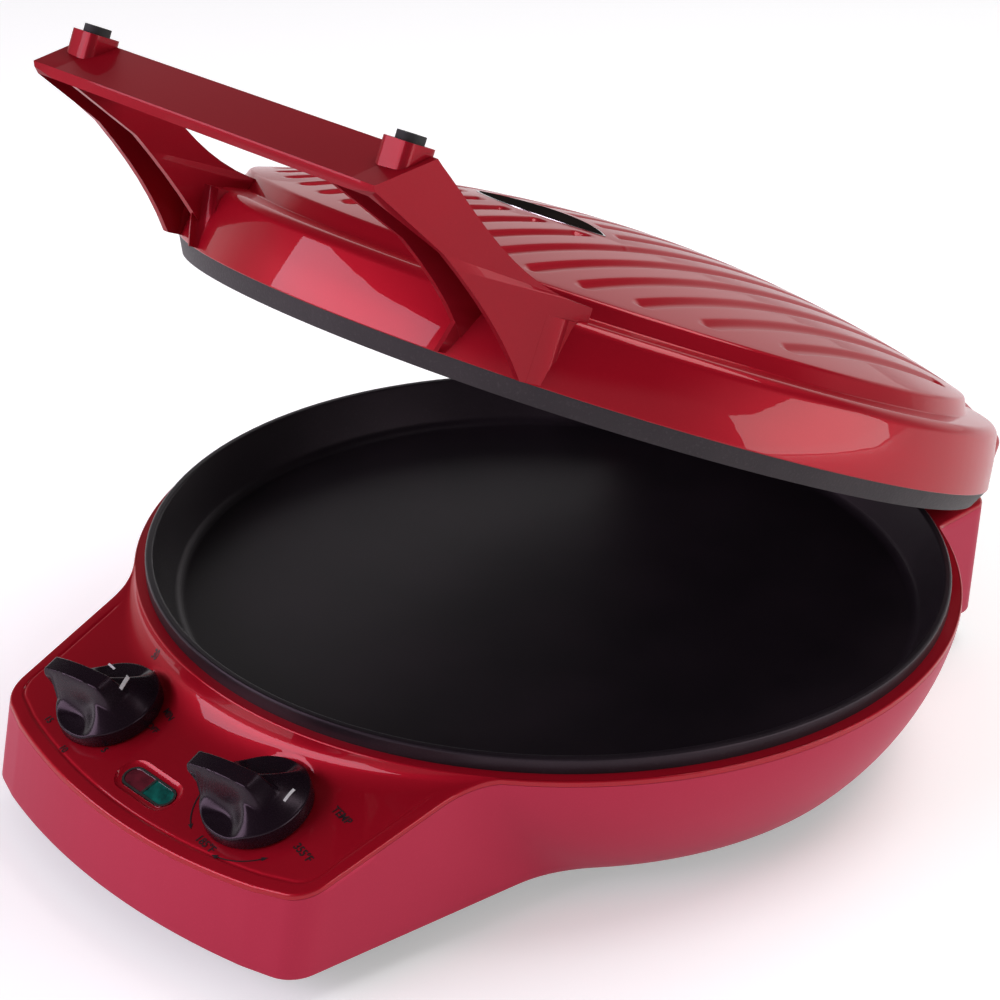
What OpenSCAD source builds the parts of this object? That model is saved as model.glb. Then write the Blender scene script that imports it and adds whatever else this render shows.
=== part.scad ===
// Electric pizza maker: a round lower pan in a drop shaped base with a sloping control
// panel, and a ribbed domed lid with a looped handle that folds back to lie flat.
// Heights are measured from the parting plane between the pan's lip and the closed lid,
// and distances front to back from the pan's axis. X is to the right, Y to the rear.

/* [Pan] */
// Height of the pan's lip above the counter
lip_height = 74; // [68:0.5:90]
// Outer radius of the pan's lip
pan_r = 164; // [150:0.5:180]
// Width of the lip's flat top
lip_w = 3; // [2.5:0.5:6]
// Depth of the lip's outer hem
hem_h = 6; // [4:0.5:9]
// Depth of the pan from the lip to its floor
pan_depth = 20; // [14:0.5:24]
// Thickness of the cast plates
cast_t = 2.5; // [2:0.25:4]
// How far the pan's wall leans in from the lip to the floor
pan_lean = 9; // [4:0.5:16]

/* [Base] */
// Width of the ledge that shows round the pan
ledge_w = 4.8; // [3:0.2:8]
// Height of the base shell, from the parting plane to its lower edge
base_h = 60; // [56:0.5:66]
// How far the bowl's wall leans in from the ledge to its lower edge
bowl_lean = 23; // [17:0.2:30]
// Outward bulge of the bowl's wall
bowl_bulge = 3.8; // [1:0.2:6]
// Wall of the base shell
wall = 2.5; // [2:0.25:3.5]
// Thickness of the deck
deck_t = 2.6; // [2:0.2:3.5]

/* [Control box] */
// Distance from the pan's lip to the front of the control box, at half its height
box_reach = 59.5; // [53:0.5:76]
// Lean of the control box's front towards its lower edge
front_lean = 12; // [0:0.5:15]
// Half width of the control box at the knobs
box_half = 91.2; // [84:0.2:100]
// Widening of the control box per millimetre towards the pan
box_taper = 0.147; // [0.05:0.001:0.2]
// Radius of the control box's corners
box_corner_r = 13; // [6:0.5:18]
// Radius of the bow of the control box's front
front_bow_r = 300; // [240:5:600]
// Distance from the pan's lip to the row of knobs
knob_reach = 24.6; // [24:0.1:27]
// Drop from the parting plane to the panel at the knobs
panel_drop = 22.4; // [20:0.2:26]
// Slope of the panel
panel_tilt = 16.2; // [12:0.2:19]
// Distance of the panel's border groove from the panel's edge
border_in = 4; // [2.5:0.25:7]
// Width of the border groove
border_w = 1.2; // [0.8:0.1:2]
// Depth of the border groove
border_d = 0.5; // [0.3:0.1:1]

/* [Knobs] */
// Distance between the two knobs
knob_pitch = 86; // [80:0.5:96]
// Diameter of a knob's skirt
knob_d = 40; // [32:0.5:44]
// Height of a knob's skirt
knob_skirt_h = 7; // [5:0.5:9]
// Height of a knob's grip above its skirt
grip_h = 10; // [6:0.5:14]
// Width of a knob's grip
grip_w = 9; // [6:0.5:12]
// Gap between a knob and the panel
knob_gap = 0.5; // [0.3:0.1:1]
// Diameter of the timer's and the thermostat's shafts
shaft_d = 6; // [5:0.5:8]
// Running clearance on a shaft's radius
run_c = 0.05; // [0.02:0.01:0.08]

/* [Indicator] */
// Length of the indicator window
window_l = 27; // [20:0.5:34]
// Width of the indicator window
window_w = 9.6; // [7:0.2:13]
// Distance of the window in front of the knob row
window_front = 16.6; // [14:0.2:18]
// Width of the bezel round the lenses
bezel_w = 0.9; // [0.6:0.1:1.5]
// Width of the dished pocket round the window
pocket_w = 3.4; // [2:0.2:5]
// Depth of the dished pocket
pocket_d = 1; // [0.6:0.1:1.4]

/* [Hinge] */
// Distance from the pan's lip back to the hinge axis
hinge_reach = 12; // [10:0.5:20]
// Diameter of the hinge pins
pin_d = 4; // [3:0.25:5]
// Radius of the hinge knuckles
knuckle_r = 5.5; // [4.5:0.1:5.6]
// Distance from the middle of the product to the middle of a hinge
hinge_x = 66; // [50:1:74]
// Length of a lid knuckle along the pin
lug_l = 16; // [10:0.5:24]
// Length of a base ear along the pin
ear_l = 8; // [6:0.5:12]
// Side gap between the knuckles
side_c = 0.4; // [0.3:0.1:0.8]
// Angle of the lid above closed, as shown
lid_open = 23.4; // [0:0.1:90]
// Half width of the rear hinge block
block_half = 99; // [90:0.5:104]
// Radius of the hinge block's rear corners
block_corner_r = 9; // [5:0.5:14]

/* [Lid] */
// Gap between the pan's lip and the closed lid
lid_gap = 0.3; // [0.3:0.1:1]
// How far the lower edge of the lid's black rim lies inside the pan's lip
rim_inset = 0.6; // [0.1:0.1:3]
// How far the lid's skirt stands out past the pan's lip
skirt_reach = 3.2; // [2:0.1:5]
// Height of the top of the black rim
rim_h = 7.3; // [5:0.1:10]
// Height of the rear block at its back
block_rear_z = 20; // [14:0.5:24]
// Slope of the rear block's top
block_slope = 16.4; // [10:0.2:18]
// Height of the lid's shoulder
shoulder_z = 31.4; // [28:0.2:36]
// How far the lid's skirt leans in up to the shoulder
skirt_lean = 4.2; // [2:0.2:7]
// Radius of the shoulder's rounding
shoulder_r = 5; // [3:0.5:7]
// Width from the lid's skirt to the crease at the foot of the crown
crease_in = 17.7; // [14:0.1:22]
// Rise from the shoulder to the edge of the crown
crown_rise = 6.2; // [5:0.1:9]
// Rise of the dome above the edge of the crown
dome_rise = 22.4; // [17:0.2:30]
// Thickness of the lid's shell
shell_t = 3; // [2.8:0.1:3.6]
// Distance between the grooves on the dome
groove_pitch = 15.8; // [13:0.2:20]
// Width of a groove
groove_w = 5.6; // [3:0.2:8]
// Depth of a groove
groove_d = 1.7; // [0.8:0.1:1.8]
// Margin from the crown's edge to the ends of the grooves
groove_margin = 9.5; // [6:0.5:16]
// Depth of the upper plate's hollow above the rim's lower edge
ceiling_z = 18; // [12:0.5:20]

/* [Badge] */
// Length of the blank badge
badge_l = 68; // [50:1:80]
// Width of the blank badge
badge_w = 24; // [14:0.5:26]
// Distance of the badge in front of the pan's axis
badge_front = 52; // [45:1:75]
// Width of the badge's bright edge
badge_edge = 1.1; // [0.8:0.1:2]
// Plain margin round the badge
badge_margin = 6; // [3:0.5:10]

/* [Handle] */
// Half width of the handle at the crossbar
handle_half = 87; // [80:0.5:96]
// Width of a handle leg
leg_w = 22.5; // [18:0.5:26]
// Outward splay of the legs
leg_splay = 5; // [3:0.5:7]
// Distance from the pan's lip to the front edge of the crossbar
bar_reach = 63; // [57:0.5:70]
// Height of the front edge of the crossbar
bar_front_z = 56.4; // [50:0.2:60]
// Distance from the front edge to the ridge of the crossbar
bar_depth = 20.5; // [16:0.5:26]
// Rise of the crossbar from its front edge to its ridge
bar_rise = 12.6; // [9:0.1:14.6]
// Length of a leg from the crossbar's front edge to its root on the crown
leg_l = 104; // [90:0.5:112]
// Wall of the handle
handle_t = 2.6; // [2:0.2:3.5]
// Distance of the two stops from the middle
stop_x = 79.2; // [72:0.2:82]
// Distance of the stops behind the crossbar's front edge
stop_back = 15.6; // [13:0.1:17]
// Height of the bosses above the ridge
boss_rise = 2.1; // [1:0.1:3]
// Diameter of the bosses under the stops
boss_d = 13.4; // [11:0.2:16]
// Diameter of the rubber stops
stop_d = 9.4; // [7:0.2:11]

/* [Underside] */
// Height of rubber that shows below the feet's pedestals
foot_show = 5.5; // [3:0.5:6]
// Diameter of the rubber feet
foot_d = 20; // [14:1:28]
// Half distance between the front feet
foot_front_x = 56; // [40:1:66]
// Distance of the front feet behind the pan's front edge
foot_front_in = 14; // [5:1:30]
// Distance of the rear feet inside the bowl's lower edge
foot_rear_in = 10.4; // [9:0.2:40]
// Direction of the rear feet from straight back
foot_rear_turn = 34; // [20:1:40]
// Thickness of the bottom cover
cover_t = 2.5; // [2:0.25:3.5]
// Width of a cooling slot
slot_w = 4; // [3:0.5:6]
// Length of a cooling slot
slot_l = 36; // [24:1:48]
// Number of cooling slots in a row
slot_count = 7; // [3:1:9]

/* [Heating] */
// Diameter of the tubular heaters
tube_d = 6.5; // [5:0.25:8]
// Radius of the loop of the lower heater
lower_loop_r = 96; // [80:1:106]
// Radius of the loop of the upper heater
upper_loop_r = 92; // [80:1:104]
// Distance of the circle of fixing posts inside the pan's lip
posts_in = 40; // [37:0.5:46]
// Diameter of the fixing posts
post_d = 12; // [10:0.5:13]
// Length of the lower pan's posts
pan_post_l = 13; // [12:0.5:16]
// Length of the upper plate's posts
lid_post_l = 9.6; // [9.4:0.2:11]
// Thickness of the reflectors
reflector_t = 0.8; // [0.6:0.1:1.2]
// Width of the reflectors outside the circle of posts
reflector_out = 12; // [10:0.5:13]
// Height of the lower reflector's rim
lower_rim_h = 8; // [5:0.5:10]
// Height of the upper reflector's rim
upper_rim_h = 5; // [3:0.5:6]
// Diameter of the fixing screws
screw_d = 4; // [3:0.5:5]
// Diameter of the fixing screws' heads
head_d = 8; // [6:0.5:8.5]
// Height of the fixing screws' heads
head_h = 2.6; // [2:0.2:3.2]

/* [Controls] */
// Side of the timer's case
timer_side = 42; // [36:1:46]
// Depth of the timer's case
timer_depth = 18; // [14:0.5:20]
// Side of the thermostat's case
stat_side = 30; // [24:1:36]
// Depth of the thermostat's case
stat_depth = 13; // [10:0.5:18]
// Height of the cord inlet above the base's lower edge
inlet_up = 16; // [16:0.5:24]
// Outer diameter of the cord inlet's flange
inlet_d = 17; // [14:0.5:22]
// Diameter of the hole through the cord inlet
inlet_bore = 7.4; // [5:0.2:9]
// Width of the rear plate that carries the cord inlet
rear_plate_w = 58; // [40:1:80]
// Height of the rear plate
rear_plate_h = 20; // [19:0.2:20.4]

/* [Hidden] */
$fn = 96;
// Overshoot of a cut past the face it opens
eps = 1;
// Clearance of a piece that is fitted by hand
fit_c = 0.2;
// Clearance on the radius of a knob pressed on its shaft
press_c = 0.02;
ring_r = pan_r + ledge_w;
bowl_low_r = ring_r - bowl_lean;
box_front = pan_r + box_reach;
knob_row = pan_r + knob_reach;
hinge_back = pan_r + hinge_reach;
rim_low_r = pan_r - rim_inset;
skirt_r = pan_r + skirt_reach;
crease_r = skirt_r - crease_in;
crown_edge_z = shoulder_z + crown_rise;
dome_z = crown_edge_z + dome_rise;
bar_front = pan_r + bar_reach;
bar_ridge_z = bar_front_z + bar_rise;
post_circle_r = pan_r - posts_in;
foot_front_y = pan_r - foot_front_in;
foot_rear_r = bowl_low_r - foot_rear_in;
foot_rear_x = foot_rear_r * sin(foot_rear_turn);
foot_rear_y = foot_rear_r * cos(foot_rear_turn);
half_turn = 180;
deck_z = -hem_h;
bowl_top_z = deck_z - deck_t;
base_z = -base_h;
panel_z = -panel_drop;
far = 600;
knuckle_front = hinge_back - knuckle_r;
block_back = hinge_back - 0.5;
cover_top_z = base_z + 3;
shelf_t = 2;
shelf_w = 3;
front_reach = box_front + (panel_z - base_z) / 2 * tan(front_lean);
rear_reach = hinge_back + knuckle_r;
pan_y = (front_reach - rear_reach) / 2;
foot_z = -lip_height;
post_angles = [45, 135, 225, 315];

// Placing of the base's and the lid's pieces

module in_base() {
    translate([0, pan_y, lip_height]) children();
}

module in_lid() {
    in_base()
    translate([0, hinge_back, 0])
    rotate([-lid_open, 0, 0])
    translate([0, -hinge_back, 0])
    children();
}

module on_panel(x = 0, t = 0) {
    translate([0, -knob_row, panel_z])
    rotate([panel_tilt, 0, 0])
    translate([x, t, 0])
    children();
}

// Outlines

function turn(p, a) = [p[0] * cos(a) - p[1] * sin(a), p[0] * sin(a) + p[1] * cos(a)];
function unit(v) = v / norm(v);
// Points that round corner b of the path a, b, c to radius r
function rounded(a, b, c, r, n = 7) =
    let (u = unit(a - b), v = unit(c - b),
        half = acos(u * v) / 2,
        centre = b + unit(u + v) * r / sin(half),
        start = b + u * r / tan(half) - centre,
        cross = -(u[0] * v[1] - u[1] * v[0]),
        sweep = (cross > 0 ? 1 : -1) * (half_turn - 2 * half))
    [for (i = [0:n]) centre + turn(start, sweep * i / n)];
// Points of a cubic curve through p and s with handles q and r
function curve(p, q, r, s, n = 10) =
    [for (i = [0:n]) let (k = i / n)
        pow(1 - k, 3) * p + 3 * k * pow(1 - k, 2) * q + 3 * k * k * (1 - k) * r + pow(k, 3) * s];
function reversed(list) = [for (i = [len(list) - 1:-1:0]) list[i]];

function box_side(y, inset) = box_half - inset + box_taper * (y + knob_row);
function bow_y(x, inset) = front_bow_r - box_front - sqrt(pow(front_bow_r - inset, 2) - x * x);
function box_corner(inset) =
    let (x = box_side(bow_y(box_half, inset), inset)) [x, bow_y(x, inset)];
box_root_y = -100;

module box_outline(inset = 0) {
    corner = box_corner(inset);
    root = [box_side(box_root_y, inset), box_root_y];
    bow_x = corner[0] - box_corner_r * 1.5;
    bow = [for (i = [0:8]) let (x = bow_x * (1 - i / 4)) [x, bow_y(x, inset)]];
    right = rounded(root, corner, bow[0], max(box_corner_r - inset, 2));
    left = [for (p = reversed(right)) [-p[0], p[1]]];
    polygon(concat([root], right, bow, left, [[-root[0], root[1]]]));
}

module block_outline(inset = 0, root_y = 60) {
    x = block_half - inset;
    y = block_back - inset;
    corner = rounded([x, root_y], [x, y], [0, y], max(block_corner_r - inset, 2));
    polygon(concat([[-x, root_y], [x, root_y]], corner,
        [for (p = reversed(corner)) [-p[0], p[1]]]));
}

// Centre and radius of the arc of the bowl's wall
bowl_chord = [ring_r - bowl_low_r, bowl_top_z - base_z];
bowl_arc_r = (bowl_chord * bowl_chord / 4 + bowl_bulge * bowl_bulge) / (2 * bowl_bulge);
bowl_out = unit([bowl_chord[1], -bowl_chord[0]]);
bowl_centre = [(ring_r + bowl_low_r) / 2, (bowl_top_z + base_z) / 2] - bowl_out * (bowl_arc_r - bowl_bulge);
function bowl_r(z, inset = 0) =
    bowl_centre[0] + sqrt(pow(bowl_arc_r - inset, 2) - pow(z - bowl_centre[1], 2));

module bowl_solid(inset = 0, top = bowl_top_z) {
    rotate_extrude($fn = 180) {
        intersection() {
            translate([0, base_z]) square([far, bowl_top_z - base_z]);
            union() {
                translate(bowl_centre) circle(bowl_arc_r - inset, $fn = 400);
                translate([0, base_z]) square([bowl_low_r * 0.8, base_h]);
            }
        }
        if (top > bowl_top_z) translate([0, bowl_top_z - eps]) square([ring_r - inset, top - bowl_top_z + eps]);
    }
}

// The control box, with its front leaning out towards the lower edge
module box_prism(inset = 0, low = base_z, high = bowl_top_z) {
    intersection() {
        translate([-far / 2, -far, low]) cube([far, far, high - low]);
        translate([0, -box_front, (base_z + panel_z) / 2])
        rotate([-front_lean, 0, 0])
        translate([0, box_front, -far / 4])
        linear_extrude(far / 2)
        box_outline(inset);
    }
}

module block_prism(inset = 0, low = base_z, high = bowl_top_z) {
    translate([0, 0, low]) linear_extrude(high - low) block_outline(inset);
}

module above_panel(below = 0) {
    on_panel()
    translate([-far / 2, -far / 2, -below])
    cube([far, far, far / 2]);
}

module lozenge(length, width) {
    hull_r = (length * length + width * width) / (4 * width);
    intersection() {
        translate([0, hull_r - width / 2]) circle(hull_r, $fn = 200);
        translate([0, width / 2 - hull_r]) circle(hull_r, $fn = 200);
    }
}

module obround(length, width) {
    square([length - width, width], center = true);
    for (side = [-1, 1]) translate([side * (length - width) / 2, 0]) circle(d = width);
}

module at_posts() {
    for (a = post_angles) rotate([0, 0, a]) translate([post_circle_r, 0, 0]) children();
}

// Base shell

// The space inside the base shell between two heights, drawn in by a margin
module floor_space(margin, low, high) {
    translate([0, 0, low]) cylinder(r = bowl_r(low, wall) - margin, h = high - low, $fn = 180);
    box_prism(wall + margin, low, high);
    block_prism(wall + margin, low, high);
}

module base_bowl() {
    color("#b03a48") in_base() {
        difference() {
            union() {
                bowl_solid();
                difference() {
                    box_prism();
                    above_panel(deck_t);
                }
                block_prism();
            }
            bowl_inside();
            box_prism(wall, base_z - eps, eps);
            block_prism(wall, base_z - eps, eps);
            rear_window();
        }
        shell_shelf();
    }
}

// The bowl's hollow, open at both ends
module bowl_inside() {
    bowl_solid(wall, eps);
    translate([0, 0, base_z - eps]) cylinder(r = bowl_r(base_z, wall), h = 2 * eps, $fn = 180);
}

// A narrow shelf inside the lower edge, against which the bottom cover rests
module shell_shelf() {
    difference() {
        union() {
            translate([0, 0, cover_top_z])
            cylinder(r = bowl_r(cover_top_z, wall) + wall / 2, h = shelf_t, $fn = 180);
            box_prism(wall / 2, cover_top_z, cover_top_z + shelf_t);
            block_prism(wall / 2, cover_top_z, cover_top_z + shelf_t);
        }
        floor_space(shelf_w, cover_top_z - eps, cover_top_z + shelf_t + eps);
    }
}

module rear_window() {
    translate([-rear_plate_w / 2, block_back - wall - eps, base_z + inlet_up - rear_plate_h / 2])
    cube([rear_plate_w, wall + 2 * eps, rear_plate_h]);
}

// Width and thickness of the rear plate's flange inside the shell
plate_flange_w = 0.8;
plate_flange_t = 1.45;
plate_in = wall + 0.05 + plate_flange_t;

module rear_plate() {
    color("#b03a48") in_base()
    translate([0, block_back, base_z + inlet_up])
    rotate([90, 0, 0])
    difference() {
        union() {
            translate([-rear_plate_w / 2 + fit_c, -rear_plate_h / 2 + fit_c, 0])
                cube([rear_plate_w - 2 * fit_c, rear_plate_h - 2 * fit_c, plate_in]);
            translate([-rear_plate_w / 2 - plate_flange_w, -rear_plate_h / 2 - plate_flange_w, plate_in - plate_flange_t])
                cube([rear_plate_w + 2 * plate_flange_w, rear_plate_h + 2 * plate_flange_w, plate_flange_t]);
        }
        translate([0, 0, -eps]) cylinder(d = inlet_d - 2 * inlet_lip, h = plate_in + 2 * eps);
    }
}

pan_wall_k = sqrt(1 + pow(pan_lean / pan_depth, 2));
// Outer radius of the pan's wall at a height below the lip
function pan_wall_r(z) = pan_r - lip_w + pan_lean * z / pan_depth + cast_t * pan_wall_k;
ring_in_r = pan_wall_r(-hem_h) + 0.4;

module base_deck() {
    color("#9c1524") in_base() {
        difference() {
            union() {
                rotate_extrude($fn = 180)
                polygon([[ring_in_r, bowl_top_z], [ring_r, bowl_top_z], [ring_r, deck_z - 0.6],
                    [ring_r - 0.6, deck_z], [ring_in_r, deck_z]]);
                panel_plate();
                panel_riser();
                rear_deck();
            }
            on_panel(knob_pitch / -2) shaft_hole();
            on_panel(knob_pitch / 2) shaft_hole();
            on_panel(0, -window_front) window_cut();
            border_groove();
        }
        hinge_ears();
    }
}

// The panel, as far as the bowl's wall
module panel_plate() {
    difference() {
        intersection() {
            box_prism(0, base_z, deck_z);
            above_panel(deck_t);
        }
        above_panel(0);
        bowl_solid(0, 0);
    }
}

// The rise from the panel to the ledge, inside the shell's walls
module panel_riser() {
    difference() {
        intersection() {
            union() {
                bowl_solid(0, deck_z - 0.6);
                difference() {
                    above_panel(deck_t);
                    above_panel(0);
                }
            }
            box_prism(wall + fit_c, base_z, deck_z);
            above_panel(deck_t);
        }
        bowl_solid(wall, 0);
    }
}

module rear_deck() {
    translate([0, 0, bowl_top_z])
    linear_extrude(deck_t)
    difference() {
        block_outline();
        circle(ring_r - 1);
    }
}

module shaft_hole() {
    translate([0, 0, -deck_t - eps]) cylinder(d = shaft_d + 3, h = deck_t + 2 * eps);
}

module window_cut() {
    translate([0, 0, -deck_t - eps])
    linear_extrude(deck_t + 2 * eps)
    obround(window_l, window_w);
    translate([0, 0, -pocket_d])
    linear_extrude(pocket_d + eps)
    obround(window_l + 2 * pocket_w, window_w + 2 * pocket_w);
}

module border_groove() {
    intersection() {
        difference() {
            box_prism(border_in);
            box_prism(border_in + border_w);
            bowl_solid(-border_in);
        }
        above_panel(border_d);
    }
}

module hinge_ears() {
    ear_x = lug_l / 2 + side_c;
    for (side = [-1, 1], end = [-1, 1]) {
        start = side * hinge_x + (end > 0 ? ear_x : -ear_x - ear_l);
        difference() {
            translate([start, 0, 0]) rotate([90, 0, 90]) linear_extrude(ear_l) {
                translate([hinge_back, 0]) circle(knuckle_r);
                translate([knuckle_front, deck_z]) square([knuckle_r - 0.5, -deck_z]);
            }
            hinge_bore();
        }
    }
}

module hinge_bore(extra = 0) {
    translate([-far / 2, hinge_back, 0])
    rotate([0, 90, 0])
    cylinder(d = pin_d + 2 * run_c + 2 * extra, h = far);
}

pin_head_l = 1.2;

module hinge_pins() {
    pin_l = lug_l + 2 * side_c + 2 * ear_l;
    color("silver") in_base()
    for (side = [-1, 1]) {
        translate([side * hinge_x - pin_l / 2, hinge_back, 0])
        rotate([0, 90, 0])
        cylinder(d = pin_d, h = pin_l);
        translate([side * (hinge_x + pin_l / 2 + pin_head_l / 2) - pin_head_l / 2, hinge_back, 0])
        rotate([0, 90, 0])
        cylinder(d = pin_d + 3, h = pin_head_l);
    }
}

// Underside

module pedestal_places() {
    for (side = [-1, 1]) {
        translate([side * foot_front_x, -foot_front_y, 0]) children();
        translate([side * foot_rear_x, foot_rear_y, 0]) children();
    }
}

cover_z = cover_top_z - cover_t;
pedestal_h = cover_z - foot_z - foot_show;
boss_top_z = -pan_depth - cast_t - pan_post_l - reflector_t;
boss_floor = 7;

module bottom_cover() {
    color("#2c2c2e") in_base() {
        difference() {
            union() {
                floor_space(fit_c, cover_z, cover_top_z);
                at_posts() translate([0, 0, cover_z]) cylinder(d = head_d + 5, h = boss_top_z - cover_z);
                pedestal_places() translate([0, 0, cover_z - pedestal_h])
                    cylinder(d1 = foot_d + 3, d2 = foot_d + 8, h = pedestal_h);
            }
            at_posts() translate([0, 0, cover_z - eps])
                cylinder(d = head_d + 2 * fit_c, h = boss_top_z - boss_floor - cover_z + eps);
            at_posts() translate([0, 0, cover_z]) cylinder(d = screw_d + 2 * fit_c, h = base_h);
            for (i = [0:slot_count - 1], side = [-1, 1])
                translate([side * (slot_l / 2 + 8), (i - (slot_count - 1) / 2) * slot_w * 3, cover_z - eps])
                linear_extrude(cover_t + 2 * eps)
                obround(slot_l, slot_w);
            pedestal_places() translate([0, 0, cover_z - pedestal_h - eps])
                cylinder(d = foot_d, h = foot_seat + eps);
        }
    }
}

foot_seat = 2;

module foot_pads() {
    pad_top = cover_z - pedestal_h + foot_seat;
    color("#1c1c1c") in_base()
    pedestal_places()
    translate([0, 0, foot_z])
    rotate_extrude()
    polygon([[0, 0], [foot_d / 2 - fit_c - 1, 0], [foot_d / 2 - fit_c, 1],
        [foot_d / 2 - fit_c, pad_top - foot_z], [0, pad_top - foot_z]]);
}

module case_screws() {
    head_top = boss_top_z - boss_floor;
    color("silver") in_base()
    at_posts() {
        translate([0, 0, head_top - head_h]) cylinder(d = head_d, h = head_h);
        translate([0, 0, head_top]) cylinder(d = screw_d, h = boss_floor + reflector_t + pan_post_l - 3);
    }
}

// Lower pan and its heater

module lower_pan() {
    inner_top = pan_r - lip_w;
    inner_low = inner_top - pan_lean;
    floor_z = -pan_depth;
    inside = concat([[0, floor_z]], rounded([0, floor_z], [inner_low, floor_z], [inner_top, 0], 5),
        rounded([inner_low, floor_z], [inner_top, 0], [pan_r, 0], 1, 3));
    low_z = floor_z - cast_t;
    outside = concat(rounded([inner_top, 0], [pan_r, 0], [pan_r, -hem_h], 1, 3),
        [[pan_r, -hem_h], [pan_wall_r(-hem_h), -hem_h]],
        rounded([pan_wall_r(-hem_h), -hem_h], [pan_wall_r(low_z), low_z], [0, low_z], 6),
        [[0, low_z]]);
    color("#1d1b1f") in_base() {
        difference() {
            union() {
                rotate_extrude($fn = 180) polygon(concat(inside, outside));
                at_posts() translate([0, 0, floor_z - cast_t - pan_post_l])
                    cylinder(d = post_d, h = pan_post_l + cast_t / 2);
            }
            at_posts() translate([0, 0, floor_z - cast_t - pan_post_l - eps])
                cylinder(d = screw_d + 2 * run_c, h = pan_post_l + eps - 1);
        }
    }
}

heater_gap = 0.3;
loop_sweep = 330;
end_block = 14;
pin_out = 12;

// A tubular heater under its plate: a loop whose ends sit in moulded blocks, each with a
// terminal pin that points inwards
module heater(loop_r) {
    rotate([0, 0, -90 + (360 - loop_sweep) / 2]) {
        rotate_extrude(angle = loop_sweep) translate([loop_r, 0]) circle(d = tube_d);
        for (a = [0, loop_sweep]) rotate([0, 0, a]) {
            translate([loop_r - end_block / 2, -end_block / 3, -tube_d / 2 - 1])
                cube([end_block, end_block * 2 / 3, tube_d + 0.6]);
            translate([loop_r, 0, 0]) rotate([0, -90, 0]) cylinder(d = tube_d / 2, h = end_block / 2 + pin_out);
        }
    }
}

// Straps that hold a heater's loop to its plate, with the plate's face at z = 0
module clamps(loop_r) {
    strap_t = 1.2;
    drop = tube_d / 2 + heater_gap;
    reach = tube_d / 2 + 0.3;
    for (a = [0, 90, 180, 50, 130])
        rotate([0, 0, a]) translate([loop_r, 4, 0]) rotate([90, 0, 0]) linear_extrude(8)
        difference() {
            union() {
                translate([0, -drop]) circle(reach + strap_t);
                translate([-reach - strap_t, -drop]) square([2 * (reach + strap_t), drop]);
                translate([-reach - 6, -strap_t]) square([2 * (reach + 6), strap_t]);
            }
            translate([0, -drop]) circle(reach);
            translate([-reach, -drop]) square([2 * reach, drop + eps]);
            translate([-far / 2, 0]) square([far, 2 * tube_d]);
        }
}

pan_under_z = -pan_depth - cast_t;

module lower_heater() {
    color("#6d6a66") in_base()
    translate([0, 0, pan_under_z - heater_gap - tube_d / 2])
    heater(lower_loop_r);
}

module lower_clamps() {
    color("silver") in_base() translate([0, 0, pan_under_z]) clamps(lower_loop_r);
}

// A dished sheet with its face at z = 0 and its rim turned up
module reflector(rim_h) {
    rim_r = post_circle_r + reflector_out;
    difference() {
        rotate_extrude()
        polygon([[0, -reflector_t], [rim_r - 4, -reflector_t], [rim_r, rim_h],
            [rim_r - reflector_t, rim_h], [rim_r - 4 - reflector_t, 0], [0, 0]]);
        at_posts() translate([0, 0, -reflector_t - eps])
            cylinder(d = screw_d + 2 * fit_c, h = reflector_t + 2 * eps);
    }
}

module lower_reflector() {
    color("lightgray") in_base() translate([0, 0, boss_top_z + reflector_t]) reflector(lower_rim_h);
}

// Controls

module timer_case() {
    color("#c9c6bd") in_base() on_panel(-knob_pitch / 2) switch_case(timer_side, timer_depth);
}

module thermostat_case() {
    color("#b9b4a6") in_base() on_panel(knob_pitch / 2) switch_case(stat_side, stat_depth);
}

// A switch under the panel: a case, a bushing through the panel and a bearing for its shaft
module switch_case(side, depth) {
    difference() {
        union() {
            translate([-side / 2, -side / 2, -deck_t - depth]) cube([side, side, depth]);
            translate([0, 0, -deck_t]) cylinder(d = shaft_d + 2.6, h = deck_t - 0.4);
        }
        translate([0, 0, -deck_t - shaft_in]) cylinder(d = shaft_d + 2 * run_c, h = far / 4);
    }
}

shaft_in = 10;
shaft_out = 12;

module control_shaft() {
    translate([0, 0, -deck_t - shaft_in + fit_c])
    cylinder(d = shaft_d, h = deck_t + shaft_in + knob_gap + shaft_out - fit_c);
}

module timer_shaft() {
    color("silver") in_base() on_panel(-knob_pitch / 2) control_shaft();
}

module temp_shaft() {
    color("silver") in_base() on_panel(knob_pitch / 2) control_shaft();
}

grip_turn = 10;

// A knob: a round domed body with a scoop on each side of its grip, whose nose overhangs
// the edge
module knob() {
    r = knob_d / 2;
    top = knob_gap + knob_skirt_h + grip_h;
    cap_r = r - 1.2;
    cap_h = grip_h * 0.8;
    cap_ball_r = (cap_r * cap_r + cap_h * cap_h) / (2 * cap_h);
    scoop_r = r * 0.75;
    difference() {
        union() {
            translate([0, 0, knob_gap]) cylinder(r = r, h = knob_skirt_h);
            intersection() {
                translate([0, 0, knob_gap + 1]) cylinder(r = cap_r, h = far / 4);
                translate([0, 0, knob_gap + knob_skirt_h + cap_h - cap_ball_r]) sphere(cap_ball_r);
            }
            rotate([0, 0, grip_turn]) grip_nose(r, top);
        }
        rotate([0, 0, grip_turn])
        for (side = [-1, 1])
            translate([-r * 0.28, side * (grip_w / 2 + scoop_r - 0.7), knob_gap + knob_skirt_h - 1.5])
            cylinder(r = scoop_r, h = far / 4);
        translate([0, 0, -eps]) cylinder(d = shaft_d + 2 * press_c, h = knob_gap + shaft_out + eps + fit_c);
        translate([0, 0, knob_gap - eps]) cylinder(r = r - 4, h = 1.5 + eps);
    }
}

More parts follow.
